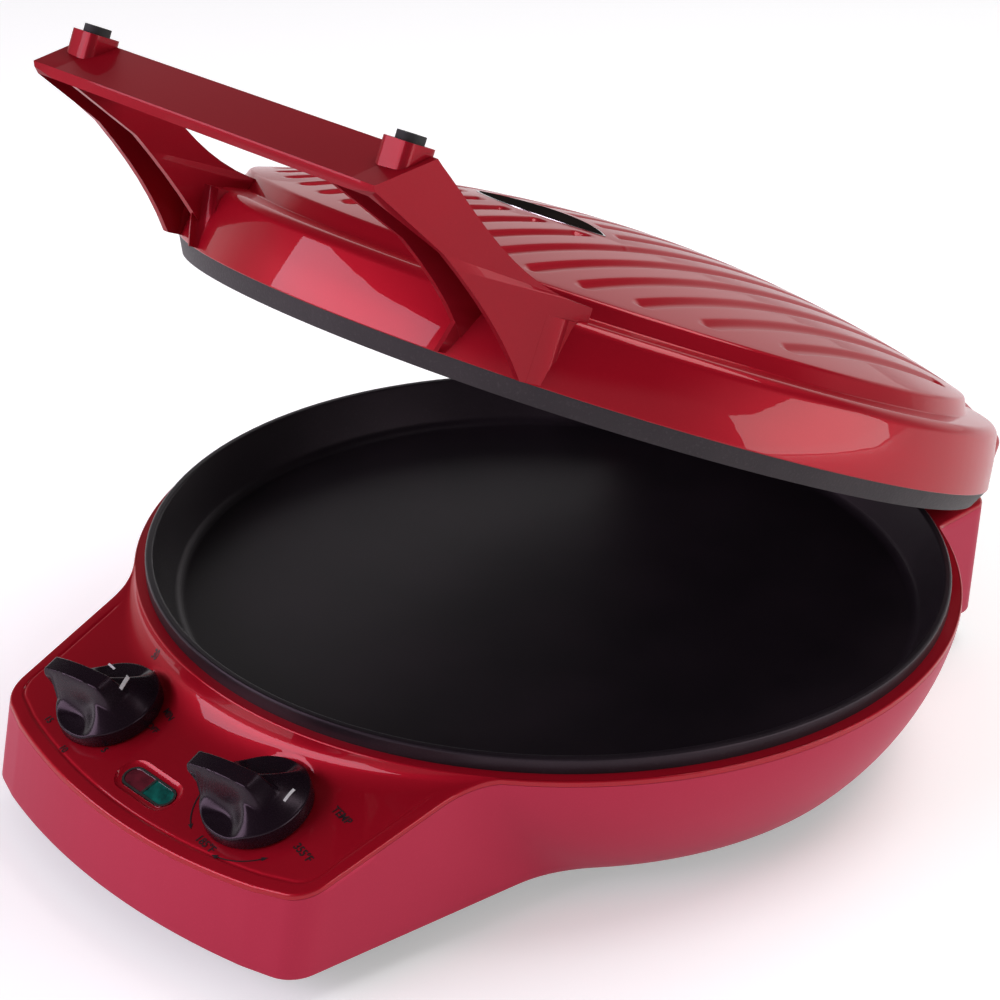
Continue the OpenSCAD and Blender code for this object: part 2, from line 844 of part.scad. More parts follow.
module grip_nose(r, top) {
    nose = r + 2;
    rotate([90, 0, 0])
    translate([0, 0, -grip_w / 2])
    linear_extrude(grip_w)
    polygon(concat(
        curve([-nose, top - 0.5], [-nose * 0.6, top + 0.8], [-r * 0.3, top - 0.6], [r * 0.5, top - grip_h * 0.25], 8),
        [[r * 0.5, knob_skirt_h], [-r + 2, knob_skirt_h - 1]],
        curve([-r + 2, knob_skirt_h + 1], [-r + 1.5, knob_skirt_h + grip_h * 0.4],
            [-r - 0.5, top - grip_h * 0.5], [-nose, top - grip_h * 0.3], 5)));
}

module timer_knob() {
    color("#1e1c20") in_base() on_panel(-knob_pitch / 2) knob();
}

module temp_knob() {
    color("#1e1c20") in_base() on_panel(knob_pitch / 2) knob();
}

bezel_l = window_l - 2 * fit_c;
bezel_h = window_w - 2 * fit_c;
lens_l = bezel_l - 2 * bezel_w;
lens_w = bezel_h - 2 * bezel_w;

module indicator_bezel() {
    color("silver") in_base() on_panel(0, -window_front)
    difference() {
        union() {
            translate([0, 0, -deck_t - 3]) linear_extrude(deck_t + 3 - pocket_d + 0.4)
                obround(bezel_l, bezel_h);
            translate([0, 0, -deck_t - 1.2]) linear_extrude(1.2) obround(window_l + 4, window_w + 4);
        }
        for (side = [-1, 1]) translate([0, 0, -deck_t - 3 - eps])
            linear_extrude(deck_t + 6)
            lens_half(side);
    }
}

module lens_half(side, gap = 0) {
    intersection() {
        obround(lens_l - 2 * gap, lens_w - 2 * gap);
        translate([side > 0 ? bezel_w / 2 + gap : -lens_l, -lens_w]) square([lens_l - bezel_w / 2 - gap, 2 * lens_w]);
    }
}

module lens(side) {
    difference() {
        translate([0, 0, -deck_t - 1]) linear_extrude(deck_t + 1 - pocket_d + 0.1) lens_half(side, 0.05);
        translate([0, 0, -deck_t - 1 - eps])
        linear_extrude(1.2 + eps)
        scale([0.8, 0.7]) lens_half(side, 0.05);
    }
}

module red_lens() {
    color("#5a0f18", 0.8) in_base() on_panel(0, -window_front) lens(-1);
}

module green_lens() {
    color("#0f6f5c", 0.8) in_base() on_panel(0, -window_front) lens(1);
}

lamp_d = 5;
holder_top = -deck_t - 3;
holder_h = 4;

module lamp_holder() {
    color("#d8d4c8") in_base() on_panel(0, -window_front)
    difference() {
        translate([0, 0, holder_top - holder_h]) linear_extrude(holder_h) obround(bezel_l, bezel_h);
        for (side = [-1, 1]) translate([side * window_l / 4, 0, holder_top - holder_h - eps])
            cylinder(d = lamp_d + 2 * fit_c, h = holder_h + 2 * eps);
    }
}

module indicator_lamps() {
    color("orange") in_base() on_panel(0, -window_front)
    for (side = [-1, 1]) translate([side * window_l / 4, 0, holder_top - holder_h - 6]) {
        cylinder(d = lamp_d, h = holder_h + 6);
        translate([0, 0, holder_h + 6]) sphere(d = lamp_d);
    }
}

module terminal_block() {
    color("#e6e2d6") in_base()
    translate([-14, block_back - wall - 36, cover_top_z])
    difference() {
        cube([28, 14, 13]);
        for (i = [0:2]) translate([5 + i * 9, 7, 5]) cylinder(d = 4, h = 9);
        for (i = [0:2]) translate([5 + i * 9, -eps, 5]) rotate([-90, 0, 0]) cylinder(d = 3, h = 16);
    }
}

inlet_lip = 2.2;
// Length of the inlet's neck inside the rear plate
neck_out = 3.5;

module cord_inlet() {
    neck_d = inlet_d - 2 * inlet_lip - 2 * run_c;
    color("#1c1c1c") in_base()
    translate([0, block_back, base_z + inlet_up])
    rotate([-90, 0, 0])
    difference() {
        union() {
            translate([0, 0, -plate_in - neck_out]) cylinder(d = neck_d, h = plate_in + neck_out);
            rotate_extrude() polygon([[0, 0], [inlet_d / 2, 0], [inlet_d / 2, 1.6], [inlet_d / 2 - 1.2, 3], [0, 3]]);
            translate([0, 0, -plate_in - neck_out + 0.8]) linear_extrude(neck_out - 1.1)
                square([inlet_d, neck_d * 0.7], center = true);
        }
        translate([0, 0, -plate_in - neck_out - eps]) cylinder(d = inlet_bore, h = plate_in + neck_out + 3 + 2 * eps);
    }
}

// Lid

// Length of a lid screw in the shell's post
lid_screw_in = 9;
dome_r = (pow(crease_r, 2) + pow(dome_z - crown_edge_z, 2)) / (2 * (dome_z - crown_edge_z));
crown_r = crease_r - 2.4;

module dome(drop = 0) {
    translate([0, 0, dome_z - dome_r]) sphere(dome_r - drop, $fn = 200);
}

module lid_body(inset = 0) {
    base = inset == 0 ? rim_h : -eps;
    low_r = skirt_r - inset;
    top_r = skirt_r - skirt_lean - inset;
    ledge_z = shoulder_z - inset;
    shoulder = rounded([low_r, base], [top_r, ledge_z], [crease_r, ledge_z], shoulder_r);
    rotate_extrude($fn = 180)
    polygon(concat([[0, base], [low_r, base]], shoulder,
        [[crease_r - inset, ledge_z + 0.6], [crown_r - inset + 0.6, crown_edge_z - 1.5 - inset],
        [crown_r - inset, crown_edge_z - inset], [0, crown_edge_z - inset]]));
    intersection() {
        dome(inset);
        translate([0, 0, crown_edge_z - inset - eps]) cylinder(r = crown_r - inset, h = far / 4);
    }
}

module rear_block(inset = 0) {
    back = block_back - inset;
    root = 100;
    rise = (back - root) * tan(block_slope);
    top = block_rear_z - inset;
    translate([0, 0, lid_gap])
    intersection() {
        linear_extrude(far / 4) block_outline(inset, root);
        rotate([90, 0, 90])
        translate([0, 0, -block_half - eps])
        linear_extrude(2 * block_half + 2 * eps)
        polygon(concat([[root, -eps], [back, -eps]],
            rounded([back, -eps], [back, top - lid_gap], [root, top - lid_gap + rise], 5),
            [[root, top - lid_gap + rise]]));
    }
}

module grooves() {
    count = floor((crown_r - groove_margin) / groove_pitch);
    difference() {
        intersection() {
            translate([0, 0, crown_edge_z - 4]) cylinder(r = crown_r - groove_margin, h = far / 4);
            for (i = [-count:count])
                translate([i * groove_pitch - groove_w / 2, -far / 2, 0]) cube([groove_w, far, far / 2]);
        }
        dome(groove_d);
        translate([0, -badge_front, 0])
        linear_extrude(far / 4)
        lozenge(badge_l + 3 * badge_margin, badge_w + 2 * badge_margin);
    }
}

module lid_shell() {
    post_top = dome_z - 8;
    post_low = ceiling_z + cast_t + lid_post_l + reflector_t;
    color("#8e1826") in_lid() {
        difference() {
            union() {
                difference() {
                    union() {
                        lid_body();
                        difference() {
                            rear_block();
                            translate([0, 0, shoulder_z - 1])
                            cylinder(r = skirt_r - skirt_lean - shoulder_r + 1.5, h = far / 4, $fn = 180);
                        }
                    }
                    lid_body(shell_t);
                    difference() {
                        translate([0, 0, -eps]) rear_block(shell_t);
                        translate([0, 0, -2 * eps]) cylinder(r = skirt_r - shell_t - 0.1, h = far / 4, $fn = 180);
                    }
                    cylinder(r = skirt_r + fit_c, h = rim_h, $fn = 180);
                    grooves();
                    badge_recess();
                }
                intersection() {
                    at_posts() translate([0, 0, post_low]) cylinder(d = post_d + 1, h = post_top - post_low);
                    dome(groove_d + 0.5);
                }
                hinge_lugs();
            }
            at_posts() translate([0, 0, post_low - eps])
                cylinder(d = screw_d + 2 * run_c, h = lid_screw_in + 1 + eps);
            hinge_bore();
            ear_notches();
            handle_screw_places() cylinder(d = screw_d - 1 + 2 * fit_c, h = shoulder_z + eps);
        }
    }
}

module badge_recess() {
    translate([0, -badge_front, 0])
    linear_extrude(far / 4)
    lozenge(badge_l + 2 * fit_c, badge_w + 2 * fit_c);
}

module hinge_lugs() {
    for (side = [-1, 1])
        translate([side * hinge_x - lug_l / 2, 0, 0])
        rotate([90, 0, 90])
        linear_extrude(lug_l) {
            translate([hinge_back, 0]) circle(knuckle_r);
            translate([knuckle_front, 0]) square([knuckle_r - 0.5, knuckle_r + 3]);
        }
}

module ear_notches() {
    notch_l = ear_l + 2 * side_c;
    for (side = [-1, 1], end = [-1, 1])
        translate([side * hinge_x + end * (lug_l / 2 + side_c + ear_l / 2) - notch_l / 2, hinge_back, 0])
        rotate([0, 90, 0])
        cylinder(r = knuckle_r + 0.6, h = notch_l);
    head_out = hinge_x + lug_l / 2 + side_c + ear_l;
    head_room = pin_head_l + 2 * side_c;
    for (side = [-1, 1])
        translate([side * (head_out + head_room / 2) - head_room / 2, hinge_back, 0])
        rotate([0, 90, 0])
        cylinder(d = pin_d + 4, h = head_room);
}

module hinge_cover() {
    color("#2c2c2e") in_lid()
    difference() {
        translate([0, 0, lid_gap])
        linear_extrude(2)
        difference() {
            block_outline(shell_t + fit_c);
            circle(skirt_r + fit_c);
        }
        translate([0, 0, -eps]) hinge_clear();
    }
}

// Space round the knuckles that the hinge cover leaves free
module hinge_clear() {
    room = lug_l / 2 + side_c + ear_l + 1;
    for (side = [-1, 1])
        translate([side * hinge_x - room, knuckle_front - 1.2, -eps])
        cube([2 * room, 20, 20]);
}

// Handle

handle_top = concat(
    [[-bar_front, bar_front_z], [-bar_front + bar_depth, bar_ridge_z]],
    curve([-bar_front + bar_depth + 2.5, bar_ridge_z - 1.6], [-bar_front + leg_l * 0.404, bar_ridge_z - 12],
        [-bar_front + leg_l * 0.635, crown_edge_z - 0.4], [-bar_front + leg_l, crown_edge_z - 1.2], 12));
leg_foot_z = rim_h + 0.7;
leg_low_z = leg_foot_z + 0.472 * (bar_front_z - leg_foot_z);

// Side outline of a leg, as far as the lid, lowered by t along its upper edge
function leg_outline(t) =
    concat([for (p = handle_top) [p[0] + t * 0.7, p[1] - t]],
        [[-bar_front + leg_l, leg_foot_z]],
        curve([-bar_front + leg_l * 0.788, leg_foot_z], [-bar_front + leg_l * 0.673, leg_foot_z + leg_low_z * 0.39],
            [-bar_front + leg_l * 0.538, leg_low_z - 0.9], [-bar_front + leg_l * 0.327, bar_front_z - 14.6], 6),
        [[-bar_front + 1, bar_front_z - 3.6]]);

module leg_prism(width, outline) {
    rotate([90, 0, 90]) translate([0, 0, -width / 2]) linear_extrude(width) polygon(outline);
}

module at_leg(side) {
    translate([side * (handle_half - leg_w / 2), -bar_front, 0])
    rotate([0, 0, -side * leg_splay])
    translate([0, bar_front, 0])
    children();
}

module bar_section() {
    top = [[-bar_front, bar_front_z], [-bar_front + bar_depth, bar_ridge_z],
        [-bar_front + bar_depth + 3, bar_ridge_z - 2]];
    rotate([90, 0, 90])
    translate([0, 0, -handle_half + leg_w / 2])
    linear_extrude(2 * handle_half - leg_w)
    polygon(concat([[-bar_front + 1, bar_front_z - 3.6]], top,
        [[-bar_front + bar_depth + 3.6, bar_front_z - 3.6],
        [-bar_front + bar_depth + 3.6 - handle_t, bar_front_z - 3.6],
        [-bar_front + bar_depth + 0.8, bar_ridge_z - 4],
        [-bar_front + bar_depth - 0.5, bar_ridge_z - 3.6],
        [-bar_front + handle_t + 1, bar_front_z - 1.6],
        [-bar_front + handle_t + 1, bar_front_z - 3.6]]));
}

// A square with rounded corners, of which the width is that of a boss
module boss_outline() {
    half = boss_d / 2;
    corner = rounded([half, 0], [half, half], [0, half], half * 0.5, 4);
    polygon(concat(corner, [for (a = [90, 180, 270], p = corner) turn(p, a)]));
}

// Corner between a leg's side at x from the middle of the leg and the skirt, on the right
function flare_corner(x) =
    let (mid_r = skirt_r - skirt_lean / 2, near = handle_half - leg_w / 2 + x + bar_reach * 1.4 * tan(leg_splay))
    [near, -sqrt(mid_r * mid_r - near * near)];
// Outline of a flare that rounds such a corner to radius r, with the skirt on the side of turn_to
function flare_outline(x, r, turn_to) =
    let (corner = flare_corner(x), out = unit(corner), along = turn_to * [-out[1], out[0]],
        proud = corner + out * 0.6, forward = [-sin(leg_splay), -cos(leg_splay)],
        arc = rounded(proud + forward * bar_reach, proud, proud + along * bar_reach, r, 6),
        last = arc[len(arc) - 1])
    concat(arc, [last - out * 6, proud - out * 6 - along * 4, arc[0] - along * 1.5]);

// Fillets where a leg's sides meet the skirt
module leg_flares(side) {
    mirror([side > 0 ? 0 : 1, 0, 0])
    translate([0, 0, leg_foot_z])
    linear_extrude(shoulder_z - leg_foot_z - 0.5) {
        polygon(flare_outline(leg_w / 2, leg_w * 0.75, 1));
        polygon(flare_outline(-leg_w / 2, leg_w * 0.22, -1));
    }
}

boss_y = -bar_front + stop_back;
boss_top = bar_ridge_z + boss_rise;
stop_top = lip_height - 0.2;
stop_stem = 5;

module lid_handle() {
    color("#9c1a28") in_lid()
    difference() {
        union() {
            for (side = [-1, 1]) at_leg(side) difference() {
                leg_prism(leg_w, leg_outline(0));
                leg_prism(leg_w - 2 * handle_t, leg_cavity());
            }
            bar_section();
            for (side = [-1, 1]) translate([side * stop_x, boss_y, bar_front_z + 4])
                linear_extrude(boss_top - bar_front_z - 4) boss_outline();
            for (side = [-1, 1]) leg_flares(side);
            intersection() {
                handle_screw_places() translate([0, 0, shoulder_z - 1]) cylinder(d = 8, h = far / 4);
                for (side = [-1, 1]) at_leg(side) leg_prism(leg_w, leg_outline(0));
            }
        }
        lid_body();
        translate([0, 0, rim_h - far]) cylinder(r = skirt_r, h = far);
        for (side = [-1, 1]) translate([side * stop_x, boss_y, boss_top - stop_stem - fit_c])
            cylinder(d = stop_d / 2 + 2 * fit_c, h = stop_stem + eps);
        handle_screw_places() cylinder(d = screw_d - 1 + 2 * run_c, h = shoulder_z + handle_screw_in + 0.5);
    }
}

// The hollow of a leg, open to the front and below
function leg_cavity() =
    let (top = [for (p = handle_top) [p[0] + handle_t * 0.7, p[1] - handle_t]])
    concat([[-bar_front + handle_t + 1, bar_front_z - 1]], [for (i = [1:len(top) - 1]) top[i]],
        [[-bar_front + leg_l, -leg_foot_z], [-bar_front - leg_foot_z, -leg_foot_z], [-bar_front + 1, bar_front_z - 3.8]]);

// Length of a handle screw in the leg's boss
handle_screw_in = 2.5;
screw_ring_r = skirt_r - skirt_lean - shell_t - shoulder_r - screw_d / 2 - 1.5;
// Distance along a leg at which it crosses the ring of the handle's screws
leg_screw_at =
    let (x = handle_half - leg_w / 2, across = x * sin(leg_splay) - bar_front * cos(leg_splay))
    -across - sqrt(across * across - x * x - bar_front * bar_front + screw_ring_r * screw_ring_r);

module handle_screw_places() {
    for (side = [-1, 1])
        at_leg(side)
        translate([0, -bar_front + leg_screw_at, 0])
        children();
}

module handle_screws() {
    color("silver") in_lid()
    handle_screw_places() {
        translate([0, 0, shoulder_z - shell_t - 2]) cylinder(d = screw_d + 2, h = 2);
        translate([0, 0, shoulder_z - shell_t]) cylinder(d = screw_d - 1, h = shell_t + handle_screw_in);
    }
}

module handle_stops() {
    color("#17171a") in_lid()
    for (side = [-1, 1]) translate([side * stop_x, boss_y, 0]) {
        translate([0, 0, boss_top]) cylinder(d = stop_d, h = stop_top - boss_top);
        translate([0, 0, boss_top - stop_stem]) cylinder(d = stop_d / 2, h = stop_stem + 0.1);
    }
}

// Upper plate and its heater

plate_top_z = ceiling_z + cast_t;

module upper_plate() {
    lip_in = rim_low_r - lip_w - 1;
    ceiling_r = lip_in - pan_lean;
    color("#232024") in_lid()
    difference() {
        union() {
            rotate_extrude($fn = 180)
            polygon(concat([[0, ceiling_z]],
                rounded([0, ceiling_z], [ceiling_r, ceiling_z], [lip_in, lid_gap], 5),
                [[lip_in, lid_gap], [rim_low_r, lid_gap], [skirt_r - 0.4, rim_h],
                [lip_in - 1 + cast_t, rim_h], [ceiling_r + cast_t, plate_top_z - 3],
                [ceiling_r, plate_top_z], [0, plate_top_z]]));
            at_posts() translate([0, 0, ceiling_z + 1]) cylinder(d = post_d, h = cast_t - 1 + lid_post_l);
        }
        at_posts() translate([0, 0, ceiling_z - eps])
            cylinder(d = screw_d + 2 * run_c, h = far / 4);
        at_posts() translate([0, 0, ceiling_z - eps]) cylinder(d = head_d + 2 * fit_c, h = head_h + eps);
    }
}

module upper_heater() {
    color("#6d6a66") in_lid()
    translate([0, 0, plate_top_z + heater_gap + tube_d / 2])
    mirror([0, 0, 1])
    heater(upper_loop_r);
}

module upper_clamps() {
    color("silver") in_lid() translate([0, 0, plate_top_z]) mirror([0, 0, 1]) clamps(upper_loop_r);
}

module upper_reflector() {
    color("lightgray") in_lid()
    translate([0, 0, plate_top_z + lid_post_l])
    mirror([0, 0, 1])
    reflector(upper_rim_h);
}

module lid_screws() {
    color("silver") in_lid()
    at_posts() {
        translate([0, 0, ceiling_z]) cylinder(d = head_d, h = head_h);
        translate([0, 0, ceiling_z]) cylinder(d = screw_d, h = cast_t + lid_post_l + reflector_t + lid_screw_in);
    }
}

// Badge

badge_t = 1.4;

module badge_slice(drop, proud) {
    intersection() {
        translate([0, -badge_front, 0]) linear_extrude(far / 4) children();
        difference() {
            dome(-proud);
            dome(drop);
        }
    }
}

module badge_plate() {
    color("#161412") in_lid()
    badge_slice(badge_t, 0.2)
    lozenge(badge_l - 2 * badge_edge - 0.4, badge_w - 2 * badge_edge - 0.1);
}

module badge_edge_trim() {
    color("silver") in_lid()
    badge_slice(badge_t, 0.6)
    difference() {
        lozenge(badge_l, badge_w);
        lozenge(badge_l - 2 * badge_edge, badge_w - 2 * badge_edge);
    }
}

base_bowl();
base_deck();
bottom_cover();
foot_pads();
lower_pan();
lower_heater();
lower_clamps();
lower_reflector();
case_screws();
timer_case();
thermostat_case();
indicator_bezel();
red_lens();
green_lens();
lamp_holder();
indicator_lamps();
terminal_block();
rear_plate();
cord_inlet();
hinge_pins();
timer_knob();
timer_shaft();
temp_knob();
temp_shaft();
lid_shell();
hinge_cover();
lid_handle();
handle_stops();
handle_screws();
upper_plate();
upper_heater();
upper_clamps();
upper_reflector();
lid_screws();
badge_plate();
badge_edge_trim();
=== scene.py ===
"""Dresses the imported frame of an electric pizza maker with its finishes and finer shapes."""

import logging
import math
from dataclasses import dataclass, field
from enum import Enum
from typing import Callable, Iterable, Optional

import bmesh
import bpy
from mathutils import Matrix, Vector


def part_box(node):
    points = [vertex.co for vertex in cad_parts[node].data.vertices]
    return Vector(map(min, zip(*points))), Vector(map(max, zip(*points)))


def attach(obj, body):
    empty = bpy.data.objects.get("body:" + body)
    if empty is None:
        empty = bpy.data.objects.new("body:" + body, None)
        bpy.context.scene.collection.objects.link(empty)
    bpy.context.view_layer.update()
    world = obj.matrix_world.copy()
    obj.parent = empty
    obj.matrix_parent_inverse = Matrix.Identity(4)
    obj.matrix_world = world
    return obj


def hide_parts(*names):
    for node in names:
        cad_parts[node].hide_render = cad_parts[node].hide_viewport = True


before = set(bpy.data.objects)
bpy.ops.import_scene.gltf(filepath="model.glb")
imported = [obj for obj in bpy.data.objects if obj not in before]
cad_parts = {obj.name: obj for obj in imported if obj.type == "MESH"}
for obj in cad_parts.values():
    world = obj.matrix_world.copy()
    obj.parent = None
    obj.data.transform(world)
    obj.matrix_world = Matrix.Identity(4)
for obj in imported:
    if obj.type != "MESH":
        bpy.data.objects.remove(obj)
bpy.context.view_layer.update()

MM = 0.001

logging.basicConfig(level=logging.INFO, format="%(message)s")
log = logging.getLogger("pizza_maker")


class Body(Enum):
    """The moving bodies that a piece can ride on."""

    BASE = "base"
    TIMER = "timer_dial"
    TEMP = "temp_dial"
    LID = "lid"


class Slot(Enum):
    """The record's material slots."""

    BASE_RED = "base_red"
    DECK_RED = "deck_red"
    COVER_BLACK = "cover_black"
    RUBBER = "rubber_black"
    NONSTICK = "nonstick_black"
    HEATER = "heater_steel"
    STEEL = "steel"
    SHEET = "reflector_sheet"
    CASE = "case_grey"
    SILVER = "bezel_silver"
    LENS_RED = "lens_red"
    LENS_GREEN = "lens_green"
    LAMP = "lamp_glass"
    KNOB = "knob_black"
    BADGE = "badge_black"


# Finishes


@dataclass(frozen=True)
class Finish:
    """A procedural surface with a soft variation of tone, gloss and relief.

    Sizes of the patterns are in millimetres and are read from Object coordinates.
    """

    name: str
    color: tuple[float, float, float]
    deep: tuple[float, float, float]
    roughness: float = 0.4
    gloss_spread: float = 0.05
    metallic: float = 0.0
    coat: float = 0.0
    coat_roughness: float = 0.06
    cloud_mm: float = 60.0
    grain_mm: float = 1.2
    grain_depth: float = 0.0
    fleck: float = 0.0
    transmission: float = 0.0
    ior: float = 1.5
    shine: float = 0.5
    tint: tuple[float, float, float] = (1.0, 1.0, 1.0)

    def build(self) -> bpy.types.Material:
        """Makes the material's nodes.

        Returns:
            The finished material, or the one of the same name made before.
        """
        made = bpy.data.materials.get(self.name)
        if made:
            return made
        mat = bpy.data.materials.new(self.name)
        mat.use_nodes = True
        tree = mat.node_tree
        shader = tree.nodes["Principled BSDF"]
        shader.inputs["Metallic"].default_value = self.metallic
        shader.inputs["Coat Weight"].default_value = self.coat
        shader.inputs["Coat Roughness"].default_value = self.coat_roughness
        shader.inputs["IOR"].default_value = self.ior
        shader.inputs["Specular IOR Level"].default_value = self.shine
        shader.inputs["Specular Tint"].default_value = (*self.tint, 1.0)
        shader.inputs["Transmission Weight"].default_value = self.transmission
        place = tree.nodes.new("ShaderNodeTexCoord")
        cloud = self._noise(tree, place, self.cloud_mm, 3.0)
        grain = self._noise(tree, place, self.grain_mm, 2.0)
        self._tone(tree, shader, cloud, grain)
        self._gloss(tree, shader, cloud, grain)
        if self.grain_depth:
            bump = tree.nodes.new("ShaderNodeBump")
            bump.inputs["Strength"].default_value = 1.0
            bump.inputs["Distance"].default_value = self.grain_depth * MM
            tree.links.new(grain.outputs["Fac"], bump.inputs["Height"])
            tree.links.new(bump.outputs["Normal"], shader.inputs["Normal"])
        return mat

    def _noise(self, tree: bpy.types.NodeTree, place: bpy.types.Node, size_mm: float, detail: float) -> bpy.types.Node:
        """Adds a noise pattern of one size.

        Args:
            tree: The material's node tree.
            place: The Texture Coordinate node.
            size_mm: Size of the pattern's blotches.
            detail: Number of finer layers.

        Returns:
            The noise node.
        """
        noise = tree.nodes.new("ShaderNodeTexNoise")
        noise.inputs["Scale"].default_value = 1.0 / (size_mm * MM)
        noise.inputs["Detail"].default_value = detail
        tree.links.new(place.outputs["Object"], noise.inputs["Vector"])
        return noise

    def _tone(self, tree: bpy.types.NodeTree, shader: bpy.types.Node, cloud: bpy.types.Node, grain: bpy.types.Node) -> None:
        """Blends the two tones of the colour, and adds bright flecks where the finish has them."""
        ramp = tree.nodes.new("ShaderNodeValToRGB")
        ramp.color_ramp.elements[0].position = 0.32
        ramp.color_ramp.elements[0].color = (*self.deep, 1.0)
        ramp.color_ramp.elements[1].position = 0.68
        ramp.color_ramp.elements[1].color = (*self.color, 1.0)
        tree.links.new(cloud.outputs["Fac"], ramp.inputs["Fac"])
        tone = ramp.outputs["Color"]
        if self.fleck:
            spark = tree.nodes.new("ShaderNodeMapRange")
            spark.inputs["From Min"].default_value = 0.55
            spark.inputs["From Max"].default_value = 0.75
            spark.inputs["To Max"].default_value = self.fleck
            tree.links.new(grain.outputs["Fac"], spark.inputs["Value"])
            blend = tree.nodes.new("ShaderNodeMix")
            blend.data_type = "RGBA"
            blend.inputs["B"].default_value = tuple(min(1.0, c * 2.2 + 0.03) for c in self.color) + (1.0,)
            tree.links.new(spark.outputs["Result"], blend.inputs["Factor"])
            tree.links.new(tone, blend.inputs["A"])
            tone = blend.outputs["Result"]
        tree.links.new(tone, shader.inputs["Base Color"])

    def _gloss(self, tree: bpy.types.NodeTree, shader: bpy.types.Node, cloud: bpy.types.Node, grain: bpy.types.Node) -> None:
        """Varies the roughness a little over the surface."""
        spread = tree.nodes.new("ShaderNodeMapRange")
        spread.inputs["To Min"].default_value = max(0.02, self.roughness - self.gloss_spread)
        spread.inputs["To Max"].default_value = min(1.0, self.roughness + self.gloss_spread)
        source = grain if self.grain_depth else cloud
        tree.links.new(source.outputs["Fac"], spread.inputs["Value"])
        tree.links.new(spread.outputs["Result"], shader.inputs["Roughness"])


CANDY_RED = Finish("candy_red", (0.36, 0.0050, 0.016), (0.32, 0.0042, 0.013), roughness=0.40, gloss_spread=0.02,
                   metallic=0.35, coat=0.5, coat_roughness=0.02, cloud_mm=90, grain_mm=0.7, fleck=0.04, shine=0.1,
                   tint=(1.0, 0.35, 0.4))
SATIN_RED = Finish("satin_red", (0.41, 0.024, 0.056), (0.38, 0.020, 0.048), roughness=0.44, gloss_spread=0.03,
                   metallic=0.4, coat=0.06, coat_roughness=0.3, cloud_mm=120, grain_mm=0.6, fleck=0.06, shine=0.25,
                   tint=(1.0, 0.6, 0.75))
PAN_COATING = Finish("pan_coating", (0.014, 0.010, 0.013), (0.009, 0.007, 0.009), roughness=0.36, gloss_spread=0.08,
                     cloud_mm=40, grain_mm=0.9, grain_depth=0.02, fleck=0.12, shine=0.3, tint=(1.0, 0.75, 0.88))
RIM_BLACK = Finish("rim_black", (0.025, 0.018, 0.021), (0.016, 0.011, 0.014), roughness=0.55, gloss_spread=0.1,
                   cloud_mm=30, grain_mm=1.1, grain_depth=0.10, fleck=0.25, shine=0.3)
KNOB_BLACK = Finish("knob_plastic", (0.011, 0.006, 0.009), (0.008, 0.004, 0.007), roughness=0.27, gloss_spread=0.04,
                    cloud_mm=20, grain_mm=0.5, grain_depth=0.004, shine=0.24, tint=(1.0, 0.75, 0.92))
# Painted shade: the handle's red is the lid's candy red made darker, with less coat, so that the handle shows darker
# than the lid.
SHADED_HANDLE_RED = Finish("handle_red_shaded", (0.27, 0.0045, 0.013), (0.24, 0.0038, 0.011), roughness=0.40, gloss_spread=0.02,
                    metallic=0.35, coat=0.22, coat_roughness=0.03, cloud_mm=90, grain_mm=0.7, fleck=0.04, shine=0.1,
                    tint=(1.0, 0.35, 0.4))
COVER_BLACK = Finish("cover_plastic", (0.022, 0.022, 0.024), (0.015, 0.015, 0.017), roughness=0.6, cloud_mm=50,
                     grain_mm=0.7, grain_depth=0.06)
RUBBER = Finish("rubber", (0.016, 0.016, 0.017), (0.011, 0.011, 0.012), roughness=0.72, cloud_mm=8, grain_mm=0.5,
                grain_depth=0.03)
SILVER = Finish("silver_trim", (0.62, 0.61, 0.62), (0.52, 0.51, 0.53), roughness=0.16, metallic=1.0, cloud_mm=6,
                grain_mm=0.4, grain_depth=0.002)
STEEL = Finish("plated_steel", (0.55, 0.55, 0.56), (0.42, 0.42, 0.43), roughness=0.3, metallic=1.0, cloud_mm=5,
               grain_mm=0.4, grain_depth=0.004)
SHEATH = Finish("heater_sheath", (0.20, 0.18, 0.165), (0.11, 0.10, 0.095), roughness=0.45, metallic=0.9, cloud_mm=14,
                grain_mm=0.8, grain_depth=0.01)
SHEET = Finish("bright_sheet", (0.75, 0.75, 0.76), (0.62, 0.62, 0.63), roughness=0.28, metallic=1.0, cloud_mm=25,
               grain_mm=1.0, grain_depth=0.01)
CASE = Finish("case_plastic", (0.58, 0.55, 0.48), (0.48, 0.45, 0.39), roughness=0.5, cloud_mm=12, grain_mm=0.6,
              grain_depth=0.02)
LENS_RED = Finish("red_lens_tint", (0.120, 0.010, 0.020), (0.055, 0.004, 0.010), roughness=0.12, gloss_spread=0.02, coat=0.6,
                  cloud_mm=5, grain_mm=0.8, grain_depth=0.006)
LENS_GREEN = Finish("green_lens_tint", (0.004, 0.130, 0.100), (0.001, 0.030, 0.027), roughness=0.12, gloss_spread=0.02,
                    coat=0.6, cloud_mm=5, grain_mm=0.8, grain_depth=0.006)
LAMP = Finish("neon_glass", (0.85, 0.5, 0.3), (0.8, 0.42, 0.25), roughness=0.08, gloss_spread=0.02, transmission=0.7,
              cloud_mm=3)
BADGE = Finish("badge_enamel", (0.014, 0.011, 0.010), (0.010, 0.008, 0.008), roughness=0.6, gloss_spread=0.03,
               cloud_mm=15, grain_mm=0.4, grain_depth=0.003, shine=0.0)
PRINT = Finish("panel_print", (0.020, 0.010, 0.012), (0.015, 0.008, 0.010), roughness=0.45, cloud_mm=3, grain_mm=0.3,
               grain_depth=0.002)
MARK = Finish("knob_print", (0.62, 0.60, 0.62), (0.52, 0.50, 0.52), roughness=0.5, cloud_mm=3, grain_mm=0.3,
              grain_depth=0.002)


# Placing


